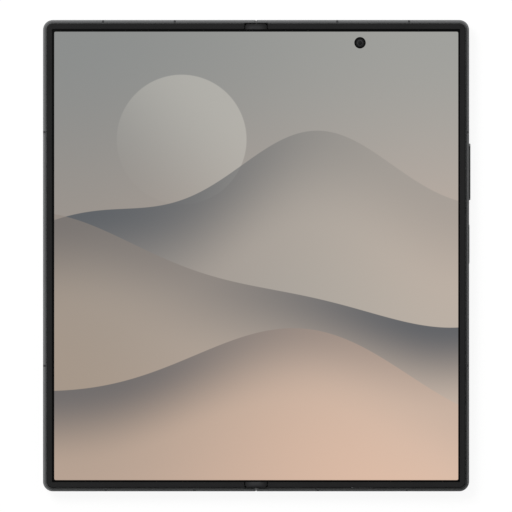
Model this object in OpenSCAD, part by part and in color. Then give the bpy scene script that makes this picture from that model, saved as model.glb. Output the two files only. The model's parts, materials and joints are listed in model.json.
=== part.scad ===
// Book-style foldable phone, open and lying on its back, screen up.
// X runs to the right, Y up the screen, Z out of the screen. X = 0 is the fold line and
// Z = 0 is the table, which the rims of the rear lenses touch.

/* [Body] */
// Width over both halves when open
open_w = 143.2; // [125:0.1:175]
// Height of the phone
open_h = 158.4; // [145:0.1:190]
// Thickness of each half at its frame
body_t = 4.2; // [3.8:0.1:6]
// Radius of the outer corners seen from the front
corner_r = 3.3; // [3.2:0.1:6]
// Rounding along the frame's long edges
edge_r = 0.65; // [0.3:0.05:0.8]
// Gap between the halves at the fold line
fold_gap = 0.08; // [0.06:0.01:0.3]
// Thickness of the frame's outer wall
wall_t = 2.0; // [1.6:0.1:3]
// Thickness of the two outer glasses
glass_t = 0.5; // [0.4:0.05:0.7]
// Width of the frame band left bare beside the fold on the back
band_w = 4.6; // [4.4:0.1:8]
// Width of the plastic antenna breaks in the frame
break_w = 0.7; // [0.4:0.1:1.5]

/* [Screen] */
// Width of the metal rim seen from the front
rim_w = 1.2; // [0.9:0.05:1.6]
// Width of the black trim that frames the screen
trim_w = 1.8; // [1.4:0.05:2.0]
// Height of the trim above the metal rim
trim_proud = 0.2; // [0.1:0.05:0.5]
// Thickness of the trim over the screen
trim_t = 0.27; // [0.2:0.01:0.4]
// Thickness of the folding display
display_t = 0.63; // [0.5:0.01:0.8]
// Half width of the strip that bends
bend_half_w = 4.5; // [4.3:0.1:6]
// Distance of the screen camera from the fold line
selfie_x = 34.9; // [20:0.1:55]
// Distance of the screen camera below the top of the phone
selfie_drop = 7.63; // [6.5:0.01:12]
// Radius of the screen camera's window
selfie_r = 1.85; // [1.4:0.05:2.5]

/* [Hinge] */
// How far the spine stands out past the halves when closed
spine_proud = 1.2; // [0.9:0.1:1.6]
// Thickness of the back lip that hides the spine when open
lip_t = 0.55; // [0.45:0.05:0.8]
// Wall of the spine cover
spine_wall = 0.4; // [0.3:0.05:0.5]
// Gap between the spine and the halves
run_gap = 0.15; // [0.1:0.01:0.25]
// Number of teeth on each timing gear
gear_teeth = 10; // [8:2:12]
// Face width of the timing gears
gear_w = 3.0; // [2:0.1:4]
// Distance of the hinge modules from mid height
module_y = 50; // [45:1:52]
// Distance of the timing arm's pin from the fold line
arm_reach = 10.0; // [9.5:0.1:11]
// Extra angle that each wing plate dips by when closed
wing_dip = 6.5; // [5:0.5:7.5]

/* [Cameras] */
// Height of the lens rims above the back glass
bump_h = 2.0; // [1.4:0.1:3]
// Width of the camera island
island_w = 19; // [17:0.5:22]
// Spacing of the rear lenses
lens_pitch = 16.5; // [15.5:0.5:20]
// Distance of the top lens below the top of the phone
lens_drop = 16.0; // [14:0.5:20]
// Distance of the camera island's middle from the outer side
island_inset = 14.0; // [12:0.5:17]
// Outer radius of each lens rim
lens_rim_r = 7.0; // [6.4:0.1:7.6]

/* [Keys and ports] */
// Length of the volume key
volume_len = 19.0; // [15:0.5:22]
// Height of the volume key's middle above mid height
volume_y = 28.2; // [24:0.1:32]
// How far the volume key stands out of the frame
volume_proud = 0.47; // [0.3:0.01:0.8]
// Length of the power key
power_len = 13.3; // [11:0.1:15]
// Height of the power key's middle above mid height
power_y = 3.9; // [0:0.1:6]
// How far the power key stands out of the frame
power_proud = 0.15; // [0.1:0.01:0.4]
// Width of both keys across the frame
key_w = 1.7; // [1.4:0.05:1.75]
// Travel of both keys
key_travel = 0.25; // [0.15:0.05:0.3]
// Width of the charging port's mouth
port_w = 8.34; // [8.34:0.01:8.6]
// Height of the charging port's mouth
port_h = 2.56; // [2.4:0.01:2.56]
// Distance of the charging port from the fold line
port_x = 35.4; // [30:0.1:40]
// Distance of the card tray's middle below mid height
tray_drop = 60; // [52:0.5:62]
// Width of the card tray's face
tray_w = 13.0; // [12.5:0.1:15]
// Length of the card tray
tray_len = 17.0; // [15:0.5:20]

/* [Hidden] */
$fn = 48;
eps = 0.01;
fit = 0.05;

// Overall shape of one half
half_w = open_w / 2;
half_h = open_h / 2;
edge_x = fold_gap / 2;

// Levels of the layers, up from the back of the glass
trim_top = body_t + trim_proud;
display_top = trim_top - trim_t - 0.03;
display_bot = display_top - display_t;
pocket_z = display_bot - fit;
mid_t = 0.42;
mid_z = pocket_z - mid_t;
floor_t = 0.45;
floor_z = glass_t + floor_t;

// Plan of the layers, in from the outer faces
trim_inset = rim_w + 0.1;
display_inset = rim_w + 0.5;
glass_inset = edge_r + 0.2;
rim_slope = 5;
end_wall = rim_w - 0.2;
bay_w = 14.0;
bulkhead_t = 0.6;
cavity_x = bay_w + bulkhead_t;
cavity_r = 1.5;
cavity_w = half_w - wall_t - cavity_x;
cavity_h = half_h - wall_t;
trim_end_x = 4.0;

// Fold axes: each half turns by 90 degrees about the axis at +fold_x or -fold_x
fold_plane = trim_top + 0.05;
spine_z = lip_t + run_gap;
closed_z = spine_z + spine_proud;
fold_x = (fold_plane - closed_z) / 2;
fold_z = (fold_plane + closed_z) / 2;
spine_r = fold_z - spine_z;
band = max(band_w, fold_x + spine_r + run_gap + 0.35);
spine_in_r = spine_r - spine_wall;
spine_floor = spine_z + spine_wall;
spine_half_len = half_h - rim_w - 0.1;
spine_rim_z = fold_z - 0.175;
block_top = fold_z - 0.275;

// The slots in the spine's sides stay above this level, so the closed halves hide them
slot_floor = closed_z + edge_x;
neck_bot = slot_floor + 0.1;
crank_x = band - 0.5;

// Timing gears: four in a row, the outer two on the arms
gear_room = 0.41;
gear_r = (fold_plane - spine_floor - gear_room) / 4.2;
gear_m = 2 * gear_r / gear_teeth;
arm_x = 3 * gear_r;
arm_z = fold_z - (arm_x - fold_x);
shaft_r = 0.47 * gear_r;
arm_w = gear_w - 0.4;
arm_t = 0.6;
arm_root = max(neck_bot, arm_z - arm_t / 2);
pin_r = 0.25;
pin_z = arm_z - 0.35;
pin_swing = sqrt(pow(arm_x - fold_x, 2) + pow(arm_z - fold_z, 2));
slot_x = arm_reach - (arm_x - fold_x);
slot_z = pin_z - (arm_z - fold_z);

// Stations along one hinge module, from its gear
journal_w = 1.65;
gear_bay = gear_w / 2 + 0.15;
journal_end = gear_bay + journal_w;
cam_y = journal_end + 0.15;
cam_t = 0.9;
lobe_h = 0.25;
follower_y = cam_y + cam_t + 2 * lobe_h + fit;
follower_t = 1.0;
spring_y = follower_y + follower_t + fit;
spring_len = 5.6;
stop_y = spring_y + spring_len + fit;
stop_t = 0.9;
rail_w = 2.2;
rail_step = rail_w + 0.2;
rail_up = stop_y + stop_t + 0.2 + rail_w / 2;
rail_down = -journal_end - 0.3 - rail_w / 2;
right_rails = [rail_up, rail_down];
left_rails = [rail_up + rail_step, rail_down - rail_step];
block_y0 = left_rails[1] - rail_w / 2 - 3.0;
block_y1 = left_rails[0] + rail_w / 2 + 3.0;
block_screws = [block_y0 + 1.5, block_y1 - 1.5];
screw_head_r = 0.9;
screw_head_t = 0.4;
screw_r = 0.45;

// Curved rails of the leaves, about the fold axis
rail_out = spine_in_r - 0.075;
rail_in = rail_out - 0.6;
rail_start = -30;
rail_sweep = 135;
beam_top = fold_z - 0.775;
beam_bot = fold_z - 1.425;
beam_end = band + 2.55;
beam_in_x = fold_x + 1.325;
leaf_x = band + 0.15;
leaf_end = bay_w - 0.3;
leaf_t = 0.3;
leaf_top = floor_z + leaf_t;
cheek_t = 0.8;
cheek_top = pin_z + pin_r + 0.3;
leaf_screw_x = leaf_end - 1.5;

// Wing and centre plates under the bending strip
plate_t = 0.2;
wing_top = display_bot - 0.02;
wing_in_x = fold_x + 0.225;
bead_r = 0.3;
bead_x = 9.1;
bead_z = wing_top - bead_r;
wing_half_len = half_h - 3.7;
cradle_bot = cheek_top + fit;
cradle_top = bead_z - 0.15;
cradle_in = bead_x - 0.5;
cradle_out = bead_x + 0.8;
centre_top = wing_top - 0.05;
centre_half_w = 0.9;
strip_half_len = half_h - 3.25;
cap_y0 = strip_half_len + 0.1;
cap_half_w = 3.65;

// Rear cameras
island_x = half_w - island_inset;
lens_y = [for (i = [0:2]) half_h - lens_drop - i * lens_pitch];
island_t = 0.9;
lens_bore_r = lens_rim_r - 1.7;
lens_seat_r = lens_rim_r - 1.0;
barrel_r = lens_bore_r - 0.3;
flash_x = island_x - island_w / 2 - 5.0;
flash_r = 2.4;
camera_body = 12;

// Keys, port and tray
key_mid_z = body_t / 2;
key_flange_t = 0.35;
key_flange_x = half_w - wall_t - fit - key_flange_t;
key_stem_x = key_flange_x - 0.5;
port_mid_z = body_t / 2 - 0.1;
port_wall = 0.16;
port_depth = 7.2;
port_set_back = 0.9;
tray_face_t = 1.0;
tray_face_h = 1.9;
tray_mid_z = body_t / 2 - 0.1;
tray_t = 1.1;
eject_r = 0.45;

// Antenna breaks, from the fold line or from mid height
top_breaks = [27.3, 51.4];
bottom_breaks = [20.7, 50.6];
side_breaks = [41.5, -37.0];
break_depth = 1.0;

// Colours
frame_grey = [0.25, 0.26, 0.27];
trim_black = [0.13, 0.13, 0.13];
screen_grey = [0.66, 0.62, 0.57];
glass_black = [0.05, 0.05, 0.06];
steel = [0.62, 0.62, 0.63];
board_green = [0.10, 0.25, 0.20];
cell_grey = [0.30, 0.31, 0.33];

// Points of an arc in a section or plan
function arc(c, r, from, to, n = 6) =
    [for (i = [0:n]) c + r * [cos(from + (to - from) * i / n), sin(from + (to - from) * i / n)]];

// Extrudes a section drawn in X and Z along Y, from y0 to y1
module along_y(y0, y1) {
    translate([0, y1, 0])
        rotate([90, 0, 0])
            linear_extrude(height = y1 - y0)
                children();
}

// A box from its two corners
module block(low, high) {
    translate(low)
        cube(high - low);
}

// Carries a section, drawn inwards from the outer face, round the three outer sides of the
// right half: along the top from x0, down the side and back along the bottom
module round_three_sides(section, x0) {
    across = [for (p = section) [half_h - p[0], p[1]]];
    down = [for (p = section) [half_w - p[0], p[1]]];
    turn = [for (p = section) [corner_r - p[0], p[1]]];
    along_y(corner_r - half_h, half_h - corner_r)
        polygon(down);
    for (side = [0, 1])
        mirror([0, side, 0]) {
            translate([x0, 0, 0])
                rotate([90, 0, 90])
                    linear_extrude(height = half_w - corner_r - x0)
                        polygon(across);
            translate([half_w - corner_r, half_h - corner_r, 0])
                rotate_extrude(angle = 90, $fn = 96)
                    polygon(turn);
        }
}

// A plate over the right half, with its two outer corners rounded
module rounded_plate(x0, inset, z0, z1, r) {
    x1 = half_w - inset;
    y1 = half_h - inset;
    translate([0, 0, z0])
        linear_extrude(height = z1 - z0)
            polygon(concat(
                [[x0, -y1]], arc([x1 - r, r - y1], r, -90, 0, 8),
                arc([x1 - r, y1 - r], r, 0, 90, 8), [[x0, y1]]));
}

// A slab with round ends, flat across X, at a place on the right side
module side_stadium(x0, x1, y, z, length, width) {
    translate([x0, y, z])
        rotate([90, 0, 90])
            linear_extrude(height = x1 - x0) {
                square([length - width, width], center = true);
                for (end = [-1, 1])
                    translate([end * (length - width) / 2, 0])
                        circle(d = width);
            }
}

// The same slab, facing the bottom edge
module end_stadium(y0, y1, x, z, width, height) {
    translate([x, y1, z])
        rotate([90, 0, 0])
            linear_extrude(height = y1 - y0) {
                square([width - height, height], center = true);
                for (end = [-1, 1])
                    translate([end * (width - height) / 2, 0])
                        circle(d = height);
            }
}

// The solid outline of the right half: its rim falls a little from the trim to the rounding
module half_outline() {
    level_x = rim_w - 0.08;
    fall = (level_x - edge_r * (1 - sin(rim_slope))) * tan(rim_slope);
    section = concat(
        [[corner_r, 0], [corner_r, body_t], [level_x, body_t]],
        arc([edge_r, body_t - fall - edge_r * cos(rim_slope)], edge_r, 90 + rim_slope, 180, 7),
        arc([edge_r, edge_r], edge_r, 180, 270));
    round_three_sides(section, edge_x);
    block([edge_x, corner_r - half_h, 0], [half_w - corner_r, half_h - corner_r, body_t]);
}

// What the fold takes off the end walls: they are rounded about the fold axis so that the
// halves pass each other, and their corners are eased where they meet
module fold_relief() {
    r = fold_x - edge_x;
    along_y(-half_h - 1, half_h + 1)
        polygon(concat(
            [[-1, fold_z], [edge_x, fold_z]], arc([fold_x, fold_z], r, 180, 90, 10),
            [[fold_x, body_t + 2], [-1, body_t + 2]]));
    ease = 0.4;
    for (side = [0, 1])
        mirror([0, side, 0])
            translate([0, 0, -1])
                linear_extrude(height = body_t + 2)
                    polygon(concat(
                        [[-1, half_h + 1], [-1, half_h - ease]],
                        arc([edge_x + ease, half_h - ease], ease, 180, 90, 5),
                        [[edge_x + ease, half_h + 1]]));
}

// The thin slabs where the frame is cut for the antenna breaks
module break_slabs() {
    tall = body_t + 2;
    for (x = top_breaks)
        block([x - break_w / 2, half_h - break_depth, -1],
              [x + break_w / 2, half_h + 1, tall]);
    for (x = bottom_breaks)
        block([x - break_w / 2, -half_h - 1, -1],
              [x + break_w / 2, break_depth - half_h, tall]);
    for (y = side_breaks)
        block([half_w - break_depth, y - break_w / 2, -1],
              [half_w + 1, y + break_w / 2, tall]);
}

module antenna_breaks() {
    color("dimgray")
        difference() {
            intersection() {
                half_outline();
                break_slabs();
            }
            glass_recess();
        }
}

// The recess in the back for the outer glass
module glass_recess() {
    rounded_plate(band, glass_inset, -1, glass_t, corner_r - glass_inset);
}

// A row of round holes through the top or bottom wall
module sound_holes(x, side, count) {
    hole_r = 0.4;
    for (i = [0:count - 1])
        translate([x + 1.6 * i, side * half_h, body_t / 2])
            rotate([90, 0, 0])
                cylinder(r = hole_r, h = 2 * wall_t + 2, center = true, $fn = 24);
}

// The frame of the right half, before its own openings: outer wall, middle plate, hinge
// bay with its back lip, and the recesses for the glass and the display
module half_frame() {
    tall = body_t + 1;
    difference() {
        half_outline();
        fold_relief();
        break_slabs();
        rounded_plate(-1, rim_w, pocket_z, tall, corner_r - rim_w);
        glass_recess();
        rounded_plate(cavity_x, wall_t, glass_t - eps, mid_z, cavity_r);
        block([-1, rim_w - half_h, lip_t], [band - 0.3, half_h - rim_w, tall]);
        block([-1, end_wall - half_h, lip_t], [trim_end_x, half_h - end_wall, tall]);
        along_y(-cavity_h, cavity_h) {
            polygon([
                [band - 0.4, floor_z], [bay_w, floor_z], [bay_w, mid_z], [cradle_out, mid_z],
                [cradle_out, cradle_bot], [cradle_in, cradle_bot], [cradle_in, cradle_top],
                [bead_x + 0.1, cradle_top], [bead_x + 0.1, tall], [band - 0.4, tall]]);
            translate([bead_x, bead_z])
                circle(r = bead_r + 0.04);
        }
        block([bay_w - eps, flex_y - flex_w / 2 - 0.3, flex_z - 0.3],
              [cavity_x + eps, flex_y + flex_w / 2 + 0.3, flex_z + 0.3]);
        for (side = [-1, 1], y = block_screws)
            leaf_screw_place(side, y)
                translate([0, 0, glass_t - leaf_top])
                    cylinder(r = screw_r, h = leaf_top, $fn = 24);
    }
}

// Puts its children where a leaf screw goes
module leaf_screw_place(side, y) {
    translate([leaf_screw_x, side * (module_y + y), leaf_top])
        children();
}

module right_frame() {
    side_x = half_w - wall_t - 1;
    color(frame_grey)
        difference() {
            half_frame();
            side_stadium(side_x, half_w + 1, volume_y, key_mid_z,
                         volume_len + 2 * fit, key_w + 2 * fit);
            side_stadium(side_x, half_w + 1, power_y, key_mid_z,
                         power_len + 2 * fit, key_w + 2 * fit);
            end_stadium(-half_h - 1, wall_t - half_h + 1, port_x, port_mid_z, port_w, port_h);
            end_stadium(port_set_back - half_h, port_depth - half_h + 1, port_x, port_mid_z,
                        port_w + 2 * port_wall + 2 * fit, port_h + 2 * port_wall + 2 * fit);
            sound_holes(46, -1, 7);
            sound_holes(24.5, -1, 1);
            sound_holes(21.5, 1, 1);
            sound_holes(60, 1, 1);
            translate([selfie_x, half_h - selfie_drop, mid_z - 1])
                cylinder(r = selfie_r + 0.3, h = mid_t + 2);
        }
}

module left_frame() {
    color(frame_grey)
        mirror([1, 0, 0])
            difference() {
                half_frame();
                block([half_w - wall_t - 1, -tray_drop - tray_w / 2 - fit,
                       tray_mid_z - tray_face_h / 2 - fit],
                      [half_w + 1, -tray_drop + tray_w / 2 + fit,
                       tray_mid_z + tray_face_h / 2 + fit]);
                sound_holes(58, 1, 7);
                sound_holes(24.5, -1, 1);
            }
}

// The black plastic trim round the screen
module half_trim() {
    out = trim_inset;
    in = rim_w + trim_w + 0.1;
    skirt = out + 0.35;
    bevel = 0.12;
    section = [
        [out, pocket_z + 0.02], [skirt, pocket_z + 0.02], [skirt, display_top + 0.03],
        [in, display_top + 0.03], [in, trim_top - bevel], [in - bevel, trim_top],
        [out + trim_proud, trim_top], [out, body_t]];
    color(trim_black)
        round_three_sides(section, trim_end_x);
}

module right_trim() {
    half_trim();
}

module left_trim() {
    mirror([1, 0, 0])
        half_trim();
}

// The rigid part of the folding display on one half
module half_display() {
    rounded_plate(bend_half_w, display_inset, display_bot, display_top,
                  corner_r - display_inset);
}

module right_display() {
    color(screen_grey)
        difference() {
            half_display();
            translate([selfie_x, half_h - selfie_drop, display_bot - 1])
                cylinder(r = selfie_r, h = display_t + 2);
        }
}

module left_display() {
    color(screen_grey)
        mirror([1, 0, 0])
            half_display();
}

// The strip of the display that bends over the spine
module display_fold_zone() {
    color(screen_grey)
        block([-bend_half_w, -strip_half_len, display_bot],
              [bend_half_w, strip_half_len, display_top]);
}

// Section of the spine: a trough about both fold axes, up to a level
module spine_section(r, top) {
    intersection() {
        union() {
            for (side = [-1, 1])
                translate([side * fold_x, fold_z])
                    circle(r = r, $fn = 96);
            translate([-fold_x, fold_z - r])
                square([2 * fold_x, r]);
        }
        translate([-fold_x - r - 1, 0])
            square([2 * (fold_x + r + 1), top]);
    }
}

// Repeats its children on both hinge modules, top and bottom
module both_modules() {
    for (side = [0, 1])
        mirror([0, side, 0])
            translate([0, module_y, 0])
                children();
}

module spine_cover() {
    slot_w = gear_w + 0.4;
    rail_slot = rail_w + 0.3;
    side_len = spine_r + fold_x + 1;
    color(frame_grey)
        difference() {
            along_y(-spine_half_len, spine_half_len)
                spine_section(spine_r, spine_rim_z);
            along_y(spine_wall - spine_half_len, spine_half_len - spine_wall)
                spine_section(spine_in_r, body_t);
            both_modules() {
                block([-side_len, -slot_w / 2, slot_floor], [side_len, slot_w / 2, body_t]);
                for (y = right_rails)
                    block([0, y - rail_slot / 2, slot_floor],
                          [side_len, y + rail_slot / 2, body_t]);
                for (y = left_rails)
                    block([-side_len, y - rail_slot / 2, slot_floor],
                          [0, y + rail_slot / 2, body_t]);
            }
            block([-side_len, flex_y - flex_w / 2 - 1, flex_z - 0.3],
                  [side_len, flex_y + flex_w / 2 + 1, body_t]);
        }
}

// The ring that a leaf's rail runs in, with room for the beam that carries the rail
module rail_room(y) {
    w = rail_w + 0.2;
    translate([0, y + w / 2, 0])
        rotate([90, 0, 0])
            linear_extrude(height = w) {
                translate([fold_x, fold_z])
                    difference() {
                        circle(r = spine_r, $fn = 96);
                        circle(r = rail_in - 0.05, $fn = 96);
                    }
                translate([beam_in_x - 0.25, slot_floor])
                    square([spine_r + fold_x, body_t]);
            }
}

// The body of one hinge module: grooves for the curved rails, bearings for the four gear
// shafts and a stop for the detent springs
module hinge_block() {
    bay_z = arm_z - gear_r - gear_m - 0.08;
    bay_w2 = spine_r + fold_x;
    color(steel)
        difference() {
            along_y(block_y0, block_y1)
                spine_section(spine_in_r - 0.025, block_top);
            block([-bay_w2, -gear_bay, bay_z], [bay_w2, gear_bay, body_t]);
            block([-bay_w2, journal_end, bay_z], [bay_w2, stop_y, body_t]);
            for (x = [-arm_x, -gear_r, gear_r, arm_x])
                translate([x, 0, arm_z])
                    rotate([90, 0, 0])
                        cylinder(r = shaft_r + 0.03, h = 2 * journal_end + 0.2, center = true);
            for (x = [-arm_x, arm_x])
                translate([x, stop_y + stop_t / 2, arm_z])
                    rotate([90, 0, 0])
                        cylinder(r = shaft_r + 0.03, h = stop_t + 0.4, center = true);
            for (y = right_rails)
                rail_room(y);
            for (y = left_rails)
                mirror([1, 0, 0])
                    rail_room(y);
            for (y = block_screws)
                translate([0, y, 0]) {
                    cylinder(r = screw_r + fit, h = body_t, $fn = 24);
                    translate([0, 0, block_top - screw_head_t])
                        cylinder(r = screw_head_r + fit, h = 1, $fn = 32);
                }
        }
}

module hinge_block_top() {
    translate([0, module_y, 0])
        hinge_block();
}

module hinge_block_bottom() {
    mirror([0, 1, 0])
        translate([0, module_y, 0])
            hinge_block();
}

module hinge_block_screws() {
    color("silver")
        both_modules()
            for (y = block_screws)
                translate([0, y, 0])
                    pan_screw(spine_floor + fit, block_top);
}

// A small screw from the tip of its shank to the top of its head, with a cross recess
module pan_screw(tip, top) {
    difference() {
        union() {
            translate([0, 0, tip])
                cylinder(r = screw_r - 0.02, h = top - screw_head_t - tip + eps, $fn = 24);
            translate([0, 0, top - screw_head_t])
                cylinder(r = screw_head_r, h = screw_head_t, $fn = 32);
        }
        for (turn = [0, 90])
            rotate([0, 0, turn])
                translate([0, 0, top])
                    cube([1.1, 0.22, 0.4], center = true);
    }
}

// Outline of a timing gear, with a tooth on +X unless it is turned
function gear_outline(turn) = [
    for (i = [0:gear_teeth - 1], p = [
            [-0.30, -1.30], [-0.215, 0], [-0.10, 0.85], [0.10, 0.85], [0.215, 0], [0.30, -1.30]])
        let (a = turn + 360 * (i + p[0]) / gear_teeth, r = gear_r + p[1] * gear_m)
            [r * cos(a), r * sin(a)]];

// A gear whose shaft runs in the block's two bearing walls
module gear_on_shaft(x, turn, y1) {
    along_y(-gear_w / 2, gear_w / 2)
        translate([x, arm_z])
            polygon(gear_outline(turn));
    translate([x, y1, arm_z])
        rotate([90, 0, 0])
            cylinder(r = shaft_r, h = y1 + journal_end - 0.1);
}

// Two raised lobes on a cam's face
module cam_lobes(x, y, turn) {
    r = gear_r + gear_m - 0.03;
    translate([x, y, arm_z])
        rotate([90, turn, 0])
            linear_extrude(height = lobe_h)
                for (side = [0, 180])
                    rotate([0, 0, side])
                        polygon(concat(
                            arc([0, 0], shaft_r + 0.08, -35, 35), arc([0, 0], r, 35, -35)));
}

// Side view of an arm, cranked down past the spine's wall
module arm_section() {
    polygon([
        [arm_x, arm_root], [crank_x, arm_root], [crank_x + 0.5, pin_z - arm_t / 2],
        [arm_reach, pin_z - arm_t / 2], [arm_reach, pin_z + arm_t / 2],
        [crank_x + 0.7, pin_z + arm_t / 2], [crank_x + 0.2, arm_root + arm_t],
        [arm_x, arm_root + arm_t]]);
    translate([arm_reach, pin_z])
        circle(d = arm_t);
}

// The right timing arm: gear, shaft, detent cam and the arm itself with its sliding pin
module timing_arm(turn) {
    cam_r = gear_r + gear_m - 0.03;
    color(steel) {
        difference() {
            union() {
                gear_on_shaft(arm_x, turn, stop_y + stop_t - 0.1);
                translate([arm_x, cam_y + cam_t, arm_z])
                    rotate([90, 0, 0])
                        cylinder(r = cam_r, h = cam_t);
                cam_lobes(arm_x, cam_y + cam_t + lobe_h, 0);
                along_y(-arm_w / 2, arm_w / 2)
                    arm_section();
                translate([arm_reach, 0, pin_z])
                    rotate([90, 0, 0])
                        cylinder(r = pin_r, h = arm_w + 2 * cheek_t, center = true, $fn = 32);
            }
            translate([(arm_x + arm_reach) / 2 + 1, 0, 0])
                cylinder(r = 0.6, h = body_t, $fn = 32);
        }
    }
}

half_tooth = 180 / gear_teeth;

module timing_arm_right_top() {
    translate([0, module_y, 0])
        timing_arm(0);
}

module timing_arm_right_bottom() {
    mirror([0, 1, 0])
        timing_arm_right_top();
}

module timing_arm_left_top() {
    mirror([1, 0, 0])
        translate([0, module_y, 0])
            timing_arm(half_tooth);
}

module timing_arm_left_bottom() {
    mirror([0, 1, 0])
        timing_arm_left_top();
}

module idler_gears(x, turn) {
    color(steel)
        both_modules()
            gear_on_shaft(x, turn, journal_end - 0.1);
}

// The plate that the springs press on the cams, sliding on both arm shafts
module cam_followers() {
    half = arm_x + gear_r;
    color("silver")
        both_modules() {
            difference() {
                intersection() {
                    along_y(follower_y, follower_y + follower_t)
                        spine_section(spine_in_r - 0.1, arm_z + 0.55);
                    block([-half, 0, arm_z - gear_r], [half, stop_y, body_t]);
                }
                for (x = [-arm_x, arm_x])
                    translate([x, follower_y, arm_z])
                        rotate([90, 0, 0])
                            cylinder(r = shaft_r + fit, h = 4 * follower_t, center = true);
            }
            for (x = [-arm_x, arm_x])
                cam_lobes(x, follower_y, 90);
        }
}

// Points of a wire round a helix on +Y, with a ring of section points at each step
spring_turns = 4.5;
spring_steps = 12;
wire_r = 0.13;
spring_r = gear_r + gear_m - 0.04 - wire_r;
wire_sides = 6;
function helix_at(t) =
    let (a = 360 * t, rise = (spring_len - 2 * wire_r) * t / spring_turns + wire_r)
        [spring_r * cos(a), rise, spring_r * sin(a)];
function helix_ring(t) =
    let (c = helix_at(t), out = [cos(360 * t), 0, sin(360 * t)])
        [for (k = [0:wire_sides - 1])
            let (b = 360 * k / wire_sides)
                c + wire_r * (cos(b) * out + sin(b) * [0, 1, 0])];
spring_rings = round(spring_turns * spring_steps);
spring_points = [for (i = [0:spring_rings]) each helix_ring(i / spring_steps)];
spring_faces = concat(
    [[for (k = [wire_sides - 1:-1:0]) k]],
    [[for (k = [0:wire_sides - 1]) spring_rings * wire_sides + k]],
    [for (i = [0:spring_rings - 1], k = [0:wire_sides - 1])
        let (a = i * wire_sides, b = a + wire_sides, n = (k + 1) % wire_sides)
            each [[a + k, a + n, b + n], [a + k, b + n, b + k]]]);

module detent_springs() {
    color("silver")
        both_modules()
            for (x = [-arm_x, arm_x])
                translate([x, spring_y, arm_z])
                    polyhedron(spring_points, spring_faces);
}

// The narrow fixed plate under the fold line, on feet that stand on the hinge blocks
module centre_plate() {
    color(steel) {
        block([-centre_half_w, -wing_half_len, centre_top - plate_t],
              [centre_half_w, wing_half_len, centre_top]);
        both_modules()
            for (y = [right_rails[0], left_rails[1]])
                block([-0.5, y - 0.9, block_top], [0.5, y + 0.9, centre_top - plate_t + eps]);
    }
}

// Points along the top of a crowned section, from one end to the other
function crown_line(half, top, fall, n) =
    [for (i = [-n:n]) [-half * i / n, top - fall * pow(i / n, 2)]];

// The end cap of the spine, between the ends of the trims: a small cushion, crowned both ways
// and with its outer corners rounded
module spine_cap() {
    low = spine_rim_z + fit;
    top = display_top + 0.22;
    out = spine_half_len - 0.05;
    r = 0.9;
    color(trim_black) {
        intersection() {
            along_y(cap_y0, out)
                polygon(concat(
                    [[-cap_half_w, low], [cap_half_w, low]],
                    crown_line(cap_half_w, top, 0.26, 8)));
            translate([-cap_half_w, (cap_y0 + out) / 2, 0])
                rotate([90, 0, 90])
                    linear_extrude(height = 2 * cap_half_w)
                        polygon(concat(
                            [[cap_y0 - out, low - 1], [out - cap_y0, low - 1]],
                            crown_line((out - cap_y0), top + 0.001, 0.32, 8)));
            translate([0, 0, low])
                linear_extrude(height = 2)
                    polygon(concat(
                        [[-cap_half_w, cap_y0], [cap_half_w, cap_y0]],
                        arc([cap_half_w - r, out - r], r, 0, 90),
                        arc([r - cap_half_w, out - r], r, 90, 180)));
        }
        along_y(cap_y0, spine_half_len - spine_wall - fit)
            spine_section(spine_in_r - fit, spine_rim_z + fit + eps);
    }
}

module spine_cap_top() {
    spine_cap();
}

module spine_cap_bottom() {
    mirror([0, 1, 0])
        spine_cap();
}

// The right leaf of one module: a plate screwed to the frame's floor, with the curved rails
// that run in the block and the cheeks whose curved slots guide the timing arm's pin
module hinge_leaf(rails, arm_side) {
    y0 = block_y0 + 0.3;
    y1 = block_y1 - 0.3;
    gap = arm_w / 2 + 0.15;
    color(steel)
        difference() {
            union() {
                block([leaf_x, y0, floor_z], [leaf_end, y1, leaf_top]);
                for (y = rails) {
                    translate([fold_x, y + rail_w / 2, fold_z])
                        rotate([90, 0, 0])
                            rotate([0, 0, rail_start - rail_sweep])
                                rotate_extrude_ring(rail_in, rail_out, rail_w, rail_sweep);
                    along_y(y - rail_w / 2, y + rail_w / 2)
                        polygon([
                            [beam_in_x, neck_bot], [crank_x, neck_bot], [crank_x + 0.3, beam_bot],
                            [leaf_x + 0.3, beam_bot], [leaf_x + 0.3, leaf_top - eps],
                            [beam_end, leaf_top - eps], [beam_end - 0.3, beam_top],
                            [beam_in_x, beam_top]]);
                }
                for (side = [-1, 1])
                    translate([0, side * (gap + cheek_t / 2), 0])
                        block([slot_x - pin_swing - 0.6, -cheek_t / 2, leaf_top - eps],
                              [arm_reach + 0.9, cheek_t / 2, cheek_top]);
            }
            for (y = rails)
                block([fold_x, y - rail_w, beam_top], [beam_in_x + 0.6, y + rail_w, body_t]);
            pin_slot();
            for (y = block_screws)
                translate([leaf_screw_x, y, 0])
                    cylinder(r = screw_r + fit, h = body_t, $fn = 24);
        }
}

// A ring sector about Z, of a width, that starts on +X
module rotate_extrude_ring(inner, outer, width, sweep) {
    rotate_extrude(angle = sweep, $fn = 96)
        translate([inner, 0])
            square([outer - inner, width]);
}

// The curved slot that the arm's pin follows in the leaf
module pin_slot() {
    r = pin_r + 0.05;
    long = arm_w + 4 * cheek_t;
    translate([slot_x, long / 2, slot_z])
        rotate([90, 0, 0]) {
            rotate([0, 0, -135])
                rotate_extrude_ring(pin_swing - r, pin_swing + r, long, 90);
            for (a = [-135, -45])
                rotate([0, 0, a])
                    translate([pin_swing, 0, 0])
                        cylinder(r = r, h = long, $fn = 32);
        }
}

module right_leaf_top() {
    translate([0, module_y, 0])
        hinge_leaf(right_rails);
}

module right_leaf_bottom() {
    mirror([0, 1, 0])
        right_leaf_top();
}

module left_leaf_top() {
    mirror([1, 0, 0])
        translate([0, module_y, 0])
            hinge_leaf(left_rails);
}

module left_leaf_bottom() {
    mirror([0, 1, 0])
        left_leaf_top();
}

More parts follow.
